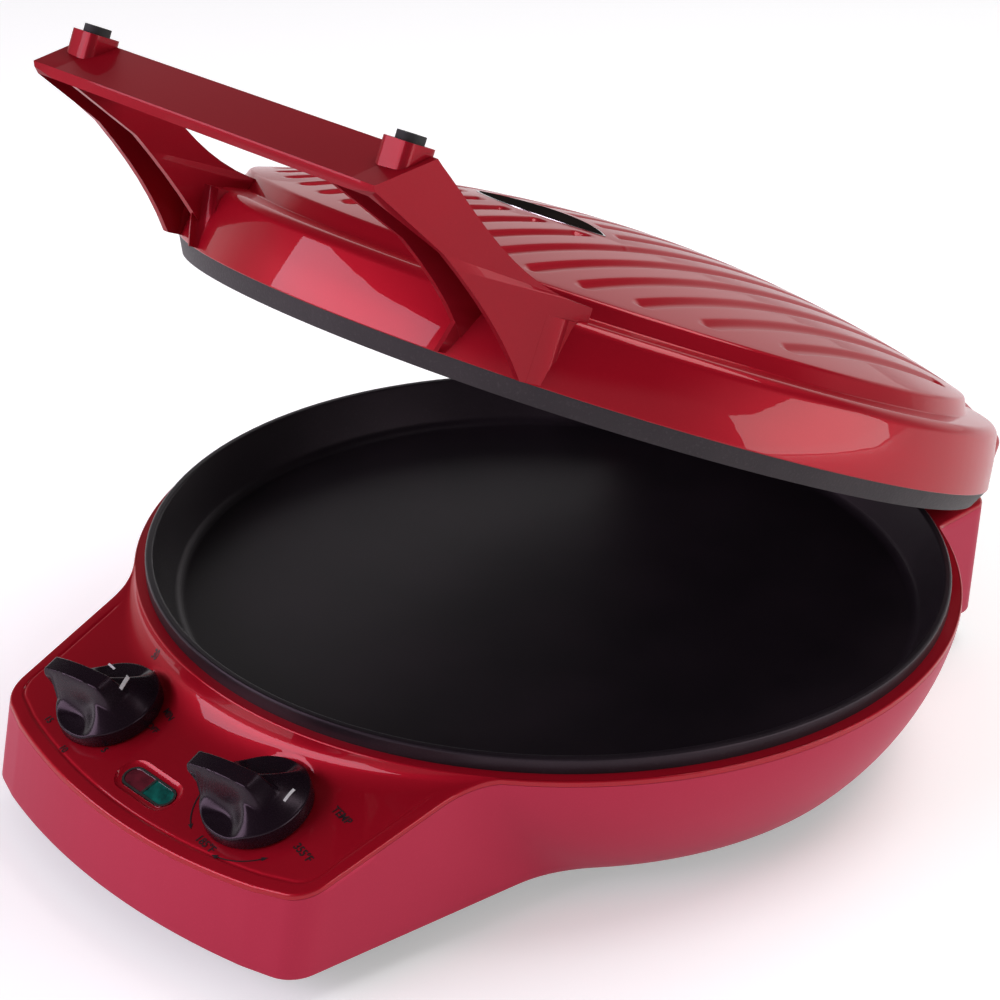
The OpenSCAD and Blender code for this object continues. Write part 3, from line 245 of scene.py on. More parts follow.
@dataclass(frozen=True)
class Layout:
    """Where the parting plane, the lid and the panel lie, in millimetres."""

    hinge_back: float = 176.0
    lid_open: float = 23.4
    knob_row: float = 188.6
    panel_drop: float = 22.4
    panel_tilt: float = 16.2

    def base(self) -> Matrix:
        """Returns the matrix from the parting frame in millimetres to the row frame."""
        low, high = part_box("lower_pan")
        middle = (low + high) / 2
        return Matrix.Translation((middle.x, middle.y, high.z)) @ Matrix.Scale(MM, 4)

    def lid(self) -> Matrix:
        """Returns the matrix of the partly open lid, from its closed place in the parting frame."""
        hinge = Matrix.Translation((0, self.hinge_back, 0))
        return self.base() @ hinge @ Matrix.Rotation(-math.radians(self.lid_open), 4, "X") @ hinge.inverted()

    def panel(self, x: float = 0.0, t: float = 0.0, lift: float = 0.0, turn: float = 0.0) -> Matrix:
        """Returns the matrix of a place on the sloping panel.

        Args:
            x: Distance to the right of the middle.
            t: Distance up the slope from the row of knobs.
            lift: Height above the panel's face.
            turn: Turn about the panel's normal, in degrees.
        """
        tilt = Matrix.Rotation(math.radians(self.panel_tilt), 4, "X")
        place = Matrix.Translation((0, -self.knob_row, -self.panel_drop)) @ tilt @ Matrix.Translation((x, t, lift))
        return self.base() @ place @ Matrix.Rotation(math.radians(turn), 4, "Z")


LAYOUT = Layout()


# Modelling operations


class Bench:
    """Modelling operations that the sub-assemblies share. Sizes are in millimetres."""

    @staticmethod
    def lathe(profile: Iterable[tuple[float, float]], steps: int = 192) -> bmesh.types.BMesh:
        """Spins a profile of (radius, height) points about the vertical axis.

        Args:
            profile: Points from one end of the section to the other.
            steps: Number of steps round the circle.

        Returns:
            The closed shape, with its normals outward.
        """
        bm = bmesh.new()
        verts = [bm.verts.new((r, 0, z)) for r, z in profile]
        edges = [bm.edges.new(pair) for pair in zip(verts, verts[1:])]
        bmesh.ops.spin(bm, geom=verts + edges, cent=(0, 0, 0), axis=(0, 0, 1), angle=2 * math.pi, steps=steps,
                       use_merge=True)
        bmesh.ops.remove_doubles(bm, verts=bm.verts, dist=0.0005)
        bmesh.ops.recalc_face_normals(bm, faces=bm.faces)
        return bm

    @staticmethod
    def prism(outline: Iterable[tuple[float, float]], height: float) -> bmesh.types.BMesh:
        """Extrudes a flat outline upward from z = 0.

        Args:
            outline: Corner points, in order.
            height: Height of the prism.

        Returns:
            The prism.
        """
        bm = bmesh.new()
        face = bm.faces.new([bm.verts.new((x, y, 0)) for x, y in outline])
        grown = bmesh.ops.extrude_face_region(bm, geom=[face])
        bmesh.ops.translate(bm, verts=[v for v in grown["geom"] if isinstance(v, bmesh.types.BMVert)],
                            vec=(0, 0, height))
        bmesh.ops.recalc_face_normals(bm, faces=bm.faces)
        return bm

    @staticmethod
    def obround(length: float, width: float, steps: int = 12) -> list[tuple[float, float]]:
        """Gives the points of a slot with round ends, centred on the origin."""
        half, r = (length - width) / 2, width / 2
        right = [(half + r * math.sin(math.pi * i / steps), -r * math.cos(math.pi * i / steps))
                 for i in range(steps + 1)]
        return right + [(-x, -y) for x, y in right]

    @staticmethod
    def bevel(bm: bmesh.types.BMesh, width: float, segments: int = 3, angle: float = 35.0) -> None:
        """Rounds every edge that is sharper than an angle.

        Args:
            bm: The mesh to change.
            width: Width of the rounding.
            segments: Number of steps across it.
            angle: Least angle between an edge's faces, in degrees.
        """
        sharp = [e for e in bm.edges if e.is_manifold and e.calc_face_angle(0) > math.radians(angle)]
        bmesh.ops.bevel(bm, geom=sharp, affect="EDGES", offset=width, offset_type="OFFSET", segments=segments,
                        profile=0.5, material=-1, clamp_overlap=True)

    @staticmethod
    def rounded(a: Vector, b: Vector, c: Vector, radius: float, steps: int = 6) -> list[tuple[float, float]]:
        """Gives the points that round corner b of the path a, b, c.

        Args:
            a: Point before the corner.
            b: The corner.
            c: Point after the corner.
            radius: Radius of the rounding.
            steps: Number of steps round it.

        Returns:
            Points from the side of a to the side of c.
        """
        u, v = (Vector(a) - Vector(b)).normalized(), (Vector(c) - Vector(b)).normalized()
        half = math.acos(max(-1.0, min(1.0, u.dot(v)))) / 2
        centre = Vector(b) + (u + v).normalized() * radius / math.sin(half)
        start = Vector(b) + u * radius / math.tan(half) - centre
        turn = math.pi - 2 * half
        sign = 1.0 if (u.y * v.x - u.x * v.y) > 0 else -1.0
        points = []
        for i in range(steps + 1):
            angle = sign * turn * i / steps
            points.append((centre.x + start.x * math.cos(angle) - start.y * math.sin(angle),
                           centre.y + start.x * math.sin(angle) + start.y * math.cos(angle)))
        return points

    @staticmethod
    def combine(bm: bmesh.types.BMesh, tool: bmesh.types.BMesh, operation: str = "DIFFERENCE") -> bmesh.types.BMesh:
        """Cuts a closed shape by another, or joins the two.

        Args:
            bm: The shape, which is freed.
            tool: The shape that cuts or joins, which is freed.
            operation: Name of the Boolean modifier's operation.

        Returns:
            The new shape.
        """
        parts = []
        for shape in (bm, tool):
            mesh = bpy.data.meshes.new("shape")
            shape.to_mesh(mesh)
            shape.free()
            parts.append(bpy.data.objects.new("shape", mesh))
            bpy.context.scene.collection.objects.link(parts[-1])
        cut = parts[0].modifiers.new("cut", "BOOLEAN")
        cut.object = parts[1]
        cut.operation = operation
        cut.solver = "EXACT"
        result = bmesh.new()
        result.from_object(parts[0], bpy.context.evaluated_depsgraph_get())
        for obj in parts:
            mesh = obj.data
            bpy.data.objects.remove(obj)
            bpy.data.meshes.remove(mesh)
        bmesh.ops.remove_doubles(result, verts=result.verts, dist=0.001)
        return result

    @staticmethod
    def grow_rings(bm: bmesh.types.BMesh, path: Iterable[tuple[float, float]]) -> list[bmesh.types.BMEdge]:
        """Extrudes a mesh's one open ring through (radius, height) points round the vertical axis.

        Args:
            bm: The mesh, whose open edges form one ring.
            path: The points, from the ring onward.

        Returns:
            The edges of the last ring.
        """
        ring = [e for e in bm.edges if e.is_boundary]
        for radius, height in path:
            grown = bmesh.ops.extrude_edge_only(bm, edges=ring)["geom"]
            verts = {g for g in grown if isinstance(g, bmesh.types.BMVert)}
            ring = [e for e in bm.edges if e.is_boundary and e.verts[0] in verts and e.verts[1] in verts]
            for v in verts:
                k = radius / math.hypot(v.co.x, v.co.y)
                v.co = (v.co.x * k, v.co.y * k, height)
        return ring

    @staticmethod
    def thicken(bm: bmesh.types.BMesh, depth: float) -> None:
        """Carries a sheet down by a depth, which closes it underneath."""
        grown = bmesh.ops.extrude_face_region(bm, geom=bm.faces[:], use_keep_orig=True)["geom"]
        bmesh.ops.translate(bm, verts=[g for g in grown if isinstance(g, bmesh.types.BMVert)], vec=(0, 0, -depth))
        bmesh.ops.recalc_face_normals(bm, faces=bm.faces)

    @staticmethod
    def sweep(turns: list[float], sections: list[list[tuple[float, float]]], closed: bool = True) -> bmesh.types.BMesh:
        """Joins sections that stand at angles round the vertical axis into one skin.

        Args:
            turns: Angle of each section from straight ahead, in radians; the last meets the first.
            sections: For each angle the same number of (distance from the axis, height) points.
            closed: Whether each section closes on itself; otherwise it runs from axis to axis.

        Returns:
            The closed skin.
        """
        count = len(sections[0])
        cells = count if closed else count - 1
        bm = bmesh.new()
        bmesh.ops.create_grid(bm, x_segments=len(turns) - 1, y_segments=cells, size=1.0)
        for v in bm.verts:
            i = round((v.co.x + 1) / 2 * (len(turns) - 1))
            r, z = sections[i][round((v.co.y + 1) / 2 * cells) % count]
            v.co = (r * math.sin(turns[i]), -r * math.cos(turns[i]), z)
        bmesh.ops.remove_doubles(bm, verts=bm.verts, dist=0.004)
        bmesh.ops.recalc_face_normals(bm, faces=bm.faces)
        if bm.calc_volume(signed=True) < 0:
            bmesh.ops.reverse_faces(bm, faces=bm.faces)
        return bm

    @staticmethod
    def smooth(mesh: bpy.types.Mesh, angle: float = 32.0) -> None:
        """Shades a mesh smooth, apart from its edges that are sharper than an angle."""
        mesh.shade_smooth()
        bm = bmesh.new()
        bm.from_mesh(mesh)
        for edge in bm.edges:
            edge.smooth = not (edge.is_manifold and edge.calc_face_angle(0) > math.radians(angle))
        bm.to_mesh(mesh)
        bm.free()

    @staticmethod
    def piece(name: str, bm: bmesh.types.BMesh, place: Matrix, finish: Finish, body: Body, slot: Slot,
              replaces: Iterable[str] = (), angle: float = 32.0) -> bpy.types.Object:
        """Turns a mesh into a dressed object that rides on a body.

        Args:
            name: Name of the object.
            bm: Its mesh, which is freed.
            place: Matrix from the mesh's millimetres to the row frame.
            finish: Its finish.
            body: The body that it rides on.
            slot: The record's material slot; not used.
            replaces: CAD nodes that it stands for.
            angle: Least angle of an edge that stays sharp, in degrees.

        Returns:
            The new object.
        """
        bmesh.ops.transform(bm, matrix=place, verts=bm.verts)
        mesh = bpy.data.meshes.new(name)
        bm.to_mesh(mesh)
        bm.free()
        Bench.smooth(mesh, angle)
        obj = bpy.data.objects.new(name, mesh)
        bpy.context.scene.collection.objects.link(obj)
        obj.data.materials.append(finish.build())
        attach(obj, body.value)
        if replaces:
            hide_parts(*replaces)
        log.info("%s: %d faces, %s, on %s", name, len(mesh.polygons), finish.name, body.value)
        return obj

    @staticmethod
    def refined(node: str, finish: Finish, body: Body, slot: Slot, width: float = 0.6, segments: int = 2,
                angle: float = 40.0, shape: Optional[Callable[[bmesh.types.BMesh], None]] = None) -> bpy.types.Object:
        """Makes a copy of a CAD node with soft edges, which stands for the node.

        Args:
            node: Name of the CAD node.
            finish: The copy's finish.
            body: The body that it rides on.
            slot: The record's material slot, passed on to piece, which does not use it.
            width: Width of the soft edges.
            segments: Steps across them.
            angle: Least angle of an edge that is softened, in degrees.
            shape: A further change to the merged mesh, in metres.

        Returns:
            The new object.
        """
        bm = bmesh.new()
        bm.from_mesh(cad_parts[node].data)
        bmesh.ops.remove_doubles(bm, verts=bm.verts, dist=0.00001)
        bmesh.ops.dissolve_limit(bm, angle_limit=math.radians(0.3), verts=bm.verts, edges=bm.edges)
        if shape:
            shape(bm)
        if width:
            Bench.bevel(bm, width * MM, segments, angle)
        obj = Bench.piece(node + "_fine", bm, Matrix.Identity(4), finish, body, slot, (node,))
        obj.modifiers.new("even", "WEIGHTED_NORMAL").keep_sharp = True
        return obj


def fade(low: float, high: float, value: float) -> float:
    """Rises smoothly from 0 at low to 1 at high."""
    k = max(0.0, min(1.0, (value - low) / (high - low)))
    return k * k * (3 - 2 * k)


# Sub-assemblies


@dataclass
class LidShell:
    """The lid's lacquered shell: a grooved crown, a ledge, a rounded shoulder and a skirt."""

    skirt_r: float = 167.2
    rim_h: float = 7.3
    skirt_lean: float = 4.2
    shoulder_z: float = 31.4
    ledge_rise: float = 0.8
    shoulder_r: float = 5.0
    crease_r: float = 149.5
    crown_edge_z: float = 37.6
    dome_z: float = 60.0
    disc_r: float = 143.5
    crown_r: float = 147.1
    edge_r: float = 2.4
    crease_round: float = 0.9
    wall: float = 2.6
    groove_pitch: float = 15.8
    groove_half: float = 2.8
    groove_soft: float = 1.15
    groove_d: float = 1.7
    groove_margin: float = 9.5
    badge_front: float = 52.0
    badge_l: float = 86.0
    badge_w: float = 36.0
    badge_half: float = 34.0
    badge_wide: float = 12.0
    badge_trim: float = 0.8
    block_half: float = 99.0
    block_back: float = 175.5
    block_root: float = 100.0
    block_z: float = 20.0
    block_slope: float = 16.4
    block_corner: float = 9.0
    block_gap: float = 0.3
    block_depth: float = 13.0
    block_reach: float = 159.6
    hinge_back: float = 176.0
    hinge_x: float = 66.0
    lug_l: float = 16.0
    ear_l: float = 8.0
    side_c: float = 0.4
    knuckle_r: float = 5.5
    notch_r: float = 6.1
    pin_r: float = 2.05

    @property
    def dome_r(self) -> float:
        """Radius of the sphere that the crown is part of."""
        rise = self.dome_z - self.crown_edge_z
        return (self.crease_r ** 2 + rise ** 2) / (2 * rise)

    def dome_height(self, r: float) -> float:
        """Returns the smooth dome's height at a distance from the middle."""
        return self.dome_z - self.dome_r + math.sqrt(self.dome_r ** 2 - r * r)

    def groove(self, x: float, y: float) -> float:
        """Returns how deep the crown is grooved at a point.

        Args:
            x: Distance to the right of the middle.
            y: Distance behind the middle.

        Returns:
            The depth, in millimetres.
        """
        line = round(x / self.groove_pitch) * self.groove_pitch
        reach = self.crown_r - self.groove_margin
        if abs(line) >= reach:
            return 0.0
        end = math.sqrt(reach ** 2 - line ** 2) - self.groove_half
        across = math.hypot(x - line, max(0.0, abs(y) - end))
        depth = 1.0 - fade(self.groove_half - self.groove_soft * 1.6, self.groove_half + self.groove_soft, across)
        round_r = (self.badge_l ** 2 + self.badge_w ** 2) / (4 * self.badge_w)
        off = round_r - math.hypot(x, abs(y + self.badge_front) + round_r - self.badge_w / 2)
        return self.groove_d * depth * fade(-0.3, 2.2, -off)

    def columns(self) -> list[float]:
        """Returns the x of the crown grid's columns, close together at the grooves' edges and at both ends."""
        near = [0.0, 1.0, 1.8, 2.4, 3.0, 3.6, 4.2, 5.6]
        marks = [k * self.groove_pitch + side * step for k in range(-9, 10) for side in (-1, 1) for step in near]
        steps = 64
        marks += [self.disc_r * math.cos(math.pi * i / (2 * steps)) * side for i in range(26) for side in (-1, 1)]
        kept: list[float] = []
        for x in sorted(m for m in marks if abs(m) <= self.disc_r):
            if not kept or x - kept[-1] > 0.12:
                kept.append(x)
        kept[0], kept[-1] = -self.disc_r, self.disc_r
        return kept

    def rows(self) -> list[float]:
        """Returns the grid's rows from -1 to 1, close together at the grooves' ends and round the badge."""
        rows, place = [-1.0], -1.0
        while place < 1.0:
            fine = abs(place) > 0.68 or -0.55 < place < -0.22
            place = min(1.0, place + (0.0085 if fine else 0.03))
            rows.append(place)
        return rows

    def crown(self) -> bpy.types.Object:
        """Builds the crown and carries its edge down over the ledge and the skirt, and back up inside.

        Returns:
            The shell.
        """
        xs, rows = self.columns(), self.rows()
        bm = bmesh.new()
        bmesh.ops.create_grid(bm, x_segments=len(xs) - 1, y_segments=len(rows) - 1, size=1.0)
        for v in bm.verts:
            x = xs[round((v.co.x + 1) / 2 * (len(xs) - 1))]
            y = rows[round((v.co.y + 1) / 2 * (len(rows) - 1))] * math.sqrt(max(0.0, self.disc_r ** 2 - x * x))
            v.co = (x, y, self.dome_height(math.hypot(x, y)) - self.groove(x, y))
        bmesh.ops.remove_doubles(bm, verts=bm.verts, dist=0.01)
        rise_top = (self.crown_r, self.dome_height(self.crown_r))
        foot = (self.crease_r + 0.2, self.shoulder_z + self.ledge_rise)
        top = (self.skirt_r - self.skirt_lean, self.shoulder_z)
        low = (self.skirt_r, self.rim_h)
        start = (self.disc_r, self.dome_height(self.disc_r))
        path = (Bench.rounded(start, rise_top, foot, self.edge_r, 7)
                + Bench.rounded(rise_top, foot, top, self.crease_round, 5)
                + Bench.rounded(foot, top, low, self.shoulder_r, 10)
                + [(self.skirt_r - self.skirt_lean * 0.4, self.rim_h + 12)]
                + Bench.rounded(top, low, (self.skirt_r - self.wall, self.rim_h), 0.5, 3)
                + [(self.skirt_r - self.wall, self.rim_h), (top[0] - self.wall, top[1] - self.wall - 3),
                   (top[0] - self.wall - 3, top[1] - self.wall), (self.crease_r - self.wall, top[1] - self.wall),
                   (self.crown_r - self.wall, self.crown_edge_z - self.wall)])
        path += [(r, self.dome_height(r) - self.wall) for r in (130.0, 100.0, 65.0, 30.0, 5.0)]
        last = Bench.grow_rings(bm, path)
        bmesh.ops.contextual_create(bm, geom=last)
        bmesh.ops.recalc_face_normals(bm, faces=bm.faces)
        return Bench.piece("lid_crown", bm, LAYOUT.lid(), CANDY_RED, Body.LID, Slot.DECK_RED, ("lid_shell",))

    def badge(self) -> None:
        """Lays the blank badge and its bright edge on the dome."""
        for name, trim, lift, finish, slot in (("badge_plate", self.badge_trim, 0.45, BADGE, Slot.BADGE),
                                               ("badge_edge_trim", 0.0, 0.25, SILVER, Slot.SILVER)):
            half, wide = self.badge_half - trim * 1.8, self.badge_wide - trim
            arc = (half ** 2 + wide ** 2) / (2 * wide)
            bm = bmesh.new()
            bmesh.ops.create_grid(bm, x_segments=48, y_segments=10, size=1.0)
            for v in bm.verts:
                x = half * math.sin(v.co.x * math.pi / 2)
                y = v.co.y * (math.sqrt(arc ** 2 - x * x) - arc + wide) - self.badge_front
                v.co = (x, y, self.dome_height(math.hypot(x, y)) + lift)
            bmesh.ops.remove_doubles(bm, verts=bm.verts, dist=0.002)
            Bench.thicken(bm, 0.9)
            Bench.piece(name + "_fine", bm, LAYOUT.lid(), finish, Body.LID, slot, (name,))

    def block_outline(self, inset: float) -> list[tuple[float, float]]:
        """Returns the outline of the block that carries the hinge, drawn in by an inset."""
        root, back, half = self.block_root - inset, self.block_back - inset, self.block_half - inset
        right = Bench.rounded((half, root), (half, back), (0, back), self.block_corner - inset, 8)
        return [(-half, root), (half, root)] + right + [(-x, y) for x, y in reversed(right)]

    def shell_room(self) -> bmesh.types.BMesh:
        """Builds the space that the crown's shell and the plate under it take up in the block."""
        under, mid = self.skirt_r + 0.2, self.wall / 2
        return Bench.lathe(((0.0, -5.0), (under, -5.0), (under, self.rim_h), (self.skirt_r - mid, self.rim_h),
                            (self.skirt_r - self.skirt_lean - 0.4, self.shoulder_z - 5.4),
                            (self.block_reach + 1.4, self.shoulder_z - 2.4), (self.block_reach, self.shoulder_z - 1.5),
                            (self.block_reach, 60.0), (0.0, 60.0)), 256)

    def block(self) -> bpy.types.Object:
        """Builds the block behind the crown that carries the hinge.

        Returns:
            The block.
        """
        root, back = self.block_root, self.block_back
        bm = Bench.prism(self.block_outline(0.0), 60.0)
        slope = math.radians(self.block_slope)
        bmesh.ops.translate(bm, verts=bm.verts, vec=(0, 0, self.block_gap))
        cut = bmesh.ops.bisect_plane(bm, geom=bm.verts[:] + bm.edges[:] + bm.faces[:], clear_outer=True,
                                     plane_co=(0, back, self.block_z), plane_no=(0, math.sin(slope), math.cos(slope)))
        bmesh.ops.contextual_create(bm, geom=[g for g in cut["geom_cut"] if isinstance(g, bmesh.types.BMEdge)])
        bmesh.ops.recalc_face_normals(bm, faces=bm.faces)
        rim = [e for e in bm.edges if all(v.co.z > self.block_z - 1 for v in e.verts) and e.calc_face_angle(0) > 0.5
               and max(v.co.y for v in e.verts) > root + 1]
        bmesh.ops.bevel(bm, geom=rim, affect="EDGES", offset=4.0, offset_type="OFFSET", segments=6, profile=0.5,
                        material=-1, clamp_overlap=True)
        bm = Bench.combine(bm, self.shell_room())
        hollow = Bench.prism(self.block_outline(self.wall), self.block_depth + 5.0)
        bmesh.ops.translate(hollow, verts=hollow.verts, vec=(0, 0, -5.0))
        bm = Bench.combine(bm, hollow)
        side = Matrix.Rotation(math.pi / 2, 4, "Y")
        ear = self.lug_l / 2 + self.side_c + self.ear_l / 2
        for x in (-self.hinge_x - ear, -self.hinge_x + ear, self.hinge_x - ear, self.hinge_x + ear):
            notch = bmesh.new()
            bmesh.ops.create_cone(notch, cap_ends=True, segments=48, radius1=self.notch_r, radius2=self.notch_r,
                                  depth=self.ear_l + 4 * self.side_c,
                                  matrix=Matrix.Translation((x, self.hinge_back, 0)) @ side)
            bm = Bench.combine(bm, notch)
        return Bench.piece("lid_hinge_block", bm, LAYOUT.lid(), CANDY_RED, Body.LID, Slot.DECK_RED, ("lid_shell",))

    def lugs(self) -> bpy.types.Object:
        """Builds the two knuckles that turn on the hinge pins."""
        bm = bmesh.new()
        side = Matrix.Rotation(math.pi / 2, 4, "Y")
        for x in (-self.hinge_x, self.hinge_x):
            bmesh.ops.create_cone(bm, cap_ends=True, segments=64, radius1=self.knuckle_r, radius2=self.knuckle_r,
                                  depth=self.lug_l, matrix=Matrix.Translation((x, self.hinge_back, 0)) @ side)
        Bench.bevel(bm, 0.5, 2)
        return Bench.piece("lid_knuckles", bm, LAYOUT.lid(), CANDY_RED, Body.LID, Slot.DECK_RED, ("lid_shell",))

    def build(self) -> None:
        """Builds the shell's pieces."""
        self.crown()
        self.badge()
        self.block()
        self.lugs()


Point = tuple[float, float]


@dataclass
class BaseShell:
    """The base's lacquered shell: ledge, sloping panel, control box, bowl and rear block in one skin."""

    pan_r: float = 164.0
    ledge_r: float = 168.8
    ledge_in: float = 161.5
    deck_z: float = -6.0
    seam_z: float = -8.6
    low_z: float = -60.0
    bowl_low_r: float = 145.8
    bowl_bulge: float = 3.8
    wall: float = 2.5
    box_front: float = 223.5
    front_lean: float = 12.0
    box_half: float = 91.2
    box_taper: float = 0.147
    box_corner: float = 13.0
    front_bow: float = 300.0
    blend: float = 11.0
    block_half: float = 99.0
    block_back: float = 175.5
    block_corner: float = 9.0
    block_blend: float = 3.0
    lip_part: float = 0.35
    lip_l: float = 3.0
    ramp: float = 1.5
    ramp_power: float = 2.2
    knob_room: float = 20.9
    knob_x: float = 43.0
    rows: int = 16
    seam_gap: float = 0.12
    edge_r: float = 1.4
    groove_in: float = 5.4
    groove_half: float = 0.7
    groove_d: float = 0.4
    window_l: float = 27.0
    window_w: float = 9.6
    window_front: float = 16.6
    pocket_w: float = 4.2
    pocket_d: float = 1.0
    rear_plate: tuple[float, float, float] = (58.0, 20.0, -44.0)
    hinge_x: float = 66.0
    hinge_back: float = 176.0
    knuckle_r: float = 5.5
    ear_l: float = 8.0
    ear_out: float = 12.4

    def panel_height(self, y: float) -> float:
        """Returns the height of the sloping panel at a distance behind the pan's axis."""
        return -LAYOUT.panel_drop + (y + LAYOUT.knob_row) * math.tan(math.radians(LAYOUT.panel_tilt))

    def bowl_radius(self, z: float) -> float:
        """Returns the bowl's outer radius at a height."""
        run, rise = self.ledge_r - self.bowl_low_r, self.seam_z - self.low_z
        arc = ((run * run + rise * rise) / 4 + self.bowl_bulge ** 2) / (2 * self.bowl_bulge)
        out = Vector((rise, -run)).normalized()
        middle = Vector(((self.ledge_r + self.bowl_low_r) / 2, (self.seam_z + self.low_z) / 2))
        centre = middle - out * (arc - self.bowl_bulge)
        return centre.x + math.sqrt(arc ** 2 - (min(z, self.seam_z) - centre.y) ** 2)

    def box_outline(self) -> list[Point]:
        """Returns the right half of the control box's outline at half its height, from the root to the front."""
        low = self.front_bow - self.box_front
        bow = lambda x: low - math.sqrt(self.front_bow ** 2 - x * x)
        side = lambda y: self.box_half + self.box_taper * (y + LAYOUT.knob_row)
        corner = (side(bow(self.box_half)), bow(self.box_half))
        start = (corner[0] - self.box_corner * 1.5, bow(corner[0] - self.box_corner * 1.5))
        points = [(side(-60.0), -60.0)] + Bench.rounded((side(-60.0), -60.0), corner, start, self.box_corner, 14)
        points += [(start[0] * (1 - i / 10), bow(start[0] * (1 - i / 10))) for i in range(11)]
        return points

    def box_radius(self, turn: float, z: float, outline: list[Point]) -> float:
        """Returns how far the control box reaches in a direction at a height.

        Args:
            turn: Angle from straight ahead, in radians.
            z: Height.
            outline: The box's outline at half its height.

        Returns:
            The distance from the pan's axis, or 0 where the ray misses the box.
        """
        lean = math.radians(self.front_lean)
        middle = (self.low_z - LAYOUT.panel_drop) / 2
        shifted = [(x, -self.box_front + ((y + self.box_front) + (z - middle) * math.sin(lean)) / math.cos(lean))
                   for x, y in outline]
        return self.ray(math.sin(abs(turn)), -math.cos(turn), shifted)

    def block_outline(self) -> list[Point]:
        """Returns the right half of the rear block's outline, from its root to the back."""
        return ([(self.block_half, 60.0)]
                + Bench.rounded((self.block_half, 60.0), (self.block_half, self.block_back), (0, self.block_back),
                                self.block_corner, 8) + [(0.0, self.block_back)])

    @staticmethod
    def ray(dx: float, dy: float, outline: list[Point]) -> float:
        """Returns the distance along a ray from the middle to an open outline, or 0 where it misses.

        Args:
            dx: The ray's direction to the right.
            dy: The ray's direction to the rear.
            outline: Points of the outline.

        Returns:
            The distance.
        """
        best = 0.0
        for (ax, ay), (bx, by) in zip(outline, outline[1:]):
            ex, ey = bx - ax, by - ay
            det = ex * dy - ey * dx
            if abs(det) < 1e-9:
                continue
            along = (ex * ay - ey * ax) / det
            part = (dx * ay - dy * ax) / det
            if -1e-6 <= part <= 1 + 1e-6 and along > best:
                best = along
        return best

    @staticmethod
    def soft_max(a: float, b: float, blend: float) -> float:
        """Returns the larger of two numbers, with a smooth blend where they are close."""
        k = max(0.0, blend - abs(a - b)) / blend
        return max(a, b) + k * k * blend / 4

    def radius(self, turn: float, z: float) -> float:
        """Returns the shell's outer radius in a direction at a height."""
        bowl = self.bowl_radius(z)
        if abs(turn) < math.pi / 2:
            return self.soft_max(bowl, self.box_radius(turn, z, self._box), self.blend)
        return self.soft_max(bowl, self.ray(math.sin(abs(turn)), -math.cos(turn), self._block), self.block_blend)

    def turns(self) -> list[float]:
        """Returns the directions of the sections, from straight back round to straight back."""
        marks, place = [0.0], 0.0
        while place < 180.0:
            near = 16.0 < place < 27.0 or 28.0 < place < 44.0 or 146.0 < place < 155.0
            place = min(180.0, place + (0.35 if near else 0.5 if place < 30.0 else 1.0))
            marks.append(place)
        return [math.radians(-m) for m in reversed(marks)][:-1] + [math.radians(m) for m in marks]

    @property
    def rim(self) -> float:
        """Radius of the ledge's outer edge."""
        return self.ledge_r - 0.8

    def rise(self, r: float, turn: float) -> float:
        """Returns how far the hollow ramp by the ledge stands above the panel's plane.

        Args:
            r: Distance from the pan's axis.
            turn: Angle from straight ahead, in radians.

        Returns:
            The height, which is 0 beyond the ramp and in the knobs' round room.
        """
        y = -r * math.cos(turn)
        drop = max(0.0, self.deck_z - self.panel_height(-self.rim * math.cos(turn)))
        beyond = max(0.0, r - self.rim)
        part = max(0.0, 1.0 - beyond / (self.ramp * drop + 0.01)) ** self.ramp_power
        lip = max(0.0, 1.0 - beyond / self.lip_l) ** 3
        away = math.hypot(abs(r * math.sin(turn)) - self.knob_x,
                          (y + LAYOUT.knob_row) / math.cos(math.radians(LAYOUT.panel_tilt)))
        whole = drop * (self.lip_part * lip + (1.0 - self.lip_part) * part)
        return whole * fade(self.knob_room, self.knob_room + 1.4, away)

    def deck_section(self, turn: float) -> tuple[list[Point], float]:
        """Works out one closed section of the deck: ledge, riser, sloping panel and rounded edge.

        Args:
            turn: Angle from straight ahead, in radians.

        Returns:
            Points (distance from the axis, height), and the height of the seam under the edge.
        """
        forward = -math.cos(turn) if abs(turn) < math.pi / 2 else 0.0
        rim = self.rim

        def panel(r: float) -> float:
            """Height of the deck's top, which falls from the ledge to the panel in a hollow curve."""
            if not forward:
                return self.deck_z
            return min(self.deck_z, self.panel_height(r * forward)) + self.rise(r, turn)

        edge, edge_z = self.radius(turn, self.deck_z), self.deck_z
        for _ in range(6):
            edge = self.radius(turn, edge_z)
            edge_z = panel(edge)
        fall = max(0.0, self.deck_z - self.panel_height(rim * forward)) if forward else 0.0
        high_r = min(0.9, 0.25 * fall + 0.01, max(0.02, edge - rim - 1.0))
        points = [(self.ledge_in, self.deck_z), ((self.ledge_in + rim) / 2, self.deck_z)]
        points += Bench.rounded((self.ledge_in, self.deck_z), (rim, self.deck_z), (rim + 0.6, panel(rim + 0.6) - 0.01),
                                high_r, 5)
        start = points[-1][0]
        inner = max(start + 0.01, min(rim + self.ramp * fall, edge - 1.6))
        points += [(r, panel(r)) for r in (start + (inner - start) * (k / 16) ** 1.9 for k in range(1, 17))]
        step = 0.004
        side = self.radius(turn + step, edge_z) - edge
        slant = math.hypot(1.0, side / (step * edge))
        groove, half = self.groove_in * slant, self.groove_half * slant
        deep = self.groove_d * fade(6.0, 12.0, edge - rim - groove) * fade(0.25, 0.7, -forward)
        far = max(inner, edge - groove - 2.2 * half)
        stations = [inner + (far - inner) * k / 6 for k in range(1, 7)]
        stations += [min(edge - 0.9, max(inner, edge - groove + half * k)) for k in (-1.3, -0.8, -0.4, 0.0, 0.4, 0.8, 1.3, 2.2)]
        for r in stations:
            across = abs(r - (edge - groove)) / half
            points.append((r, panel(r) - deep * (1.0 - fade(0.1, 1.3, across))))
        below = edge_z - 9.0
        inward = max(inner, edge - 3.0)
        turned = min(self.edge_r, (edge - inner) * 0.7)
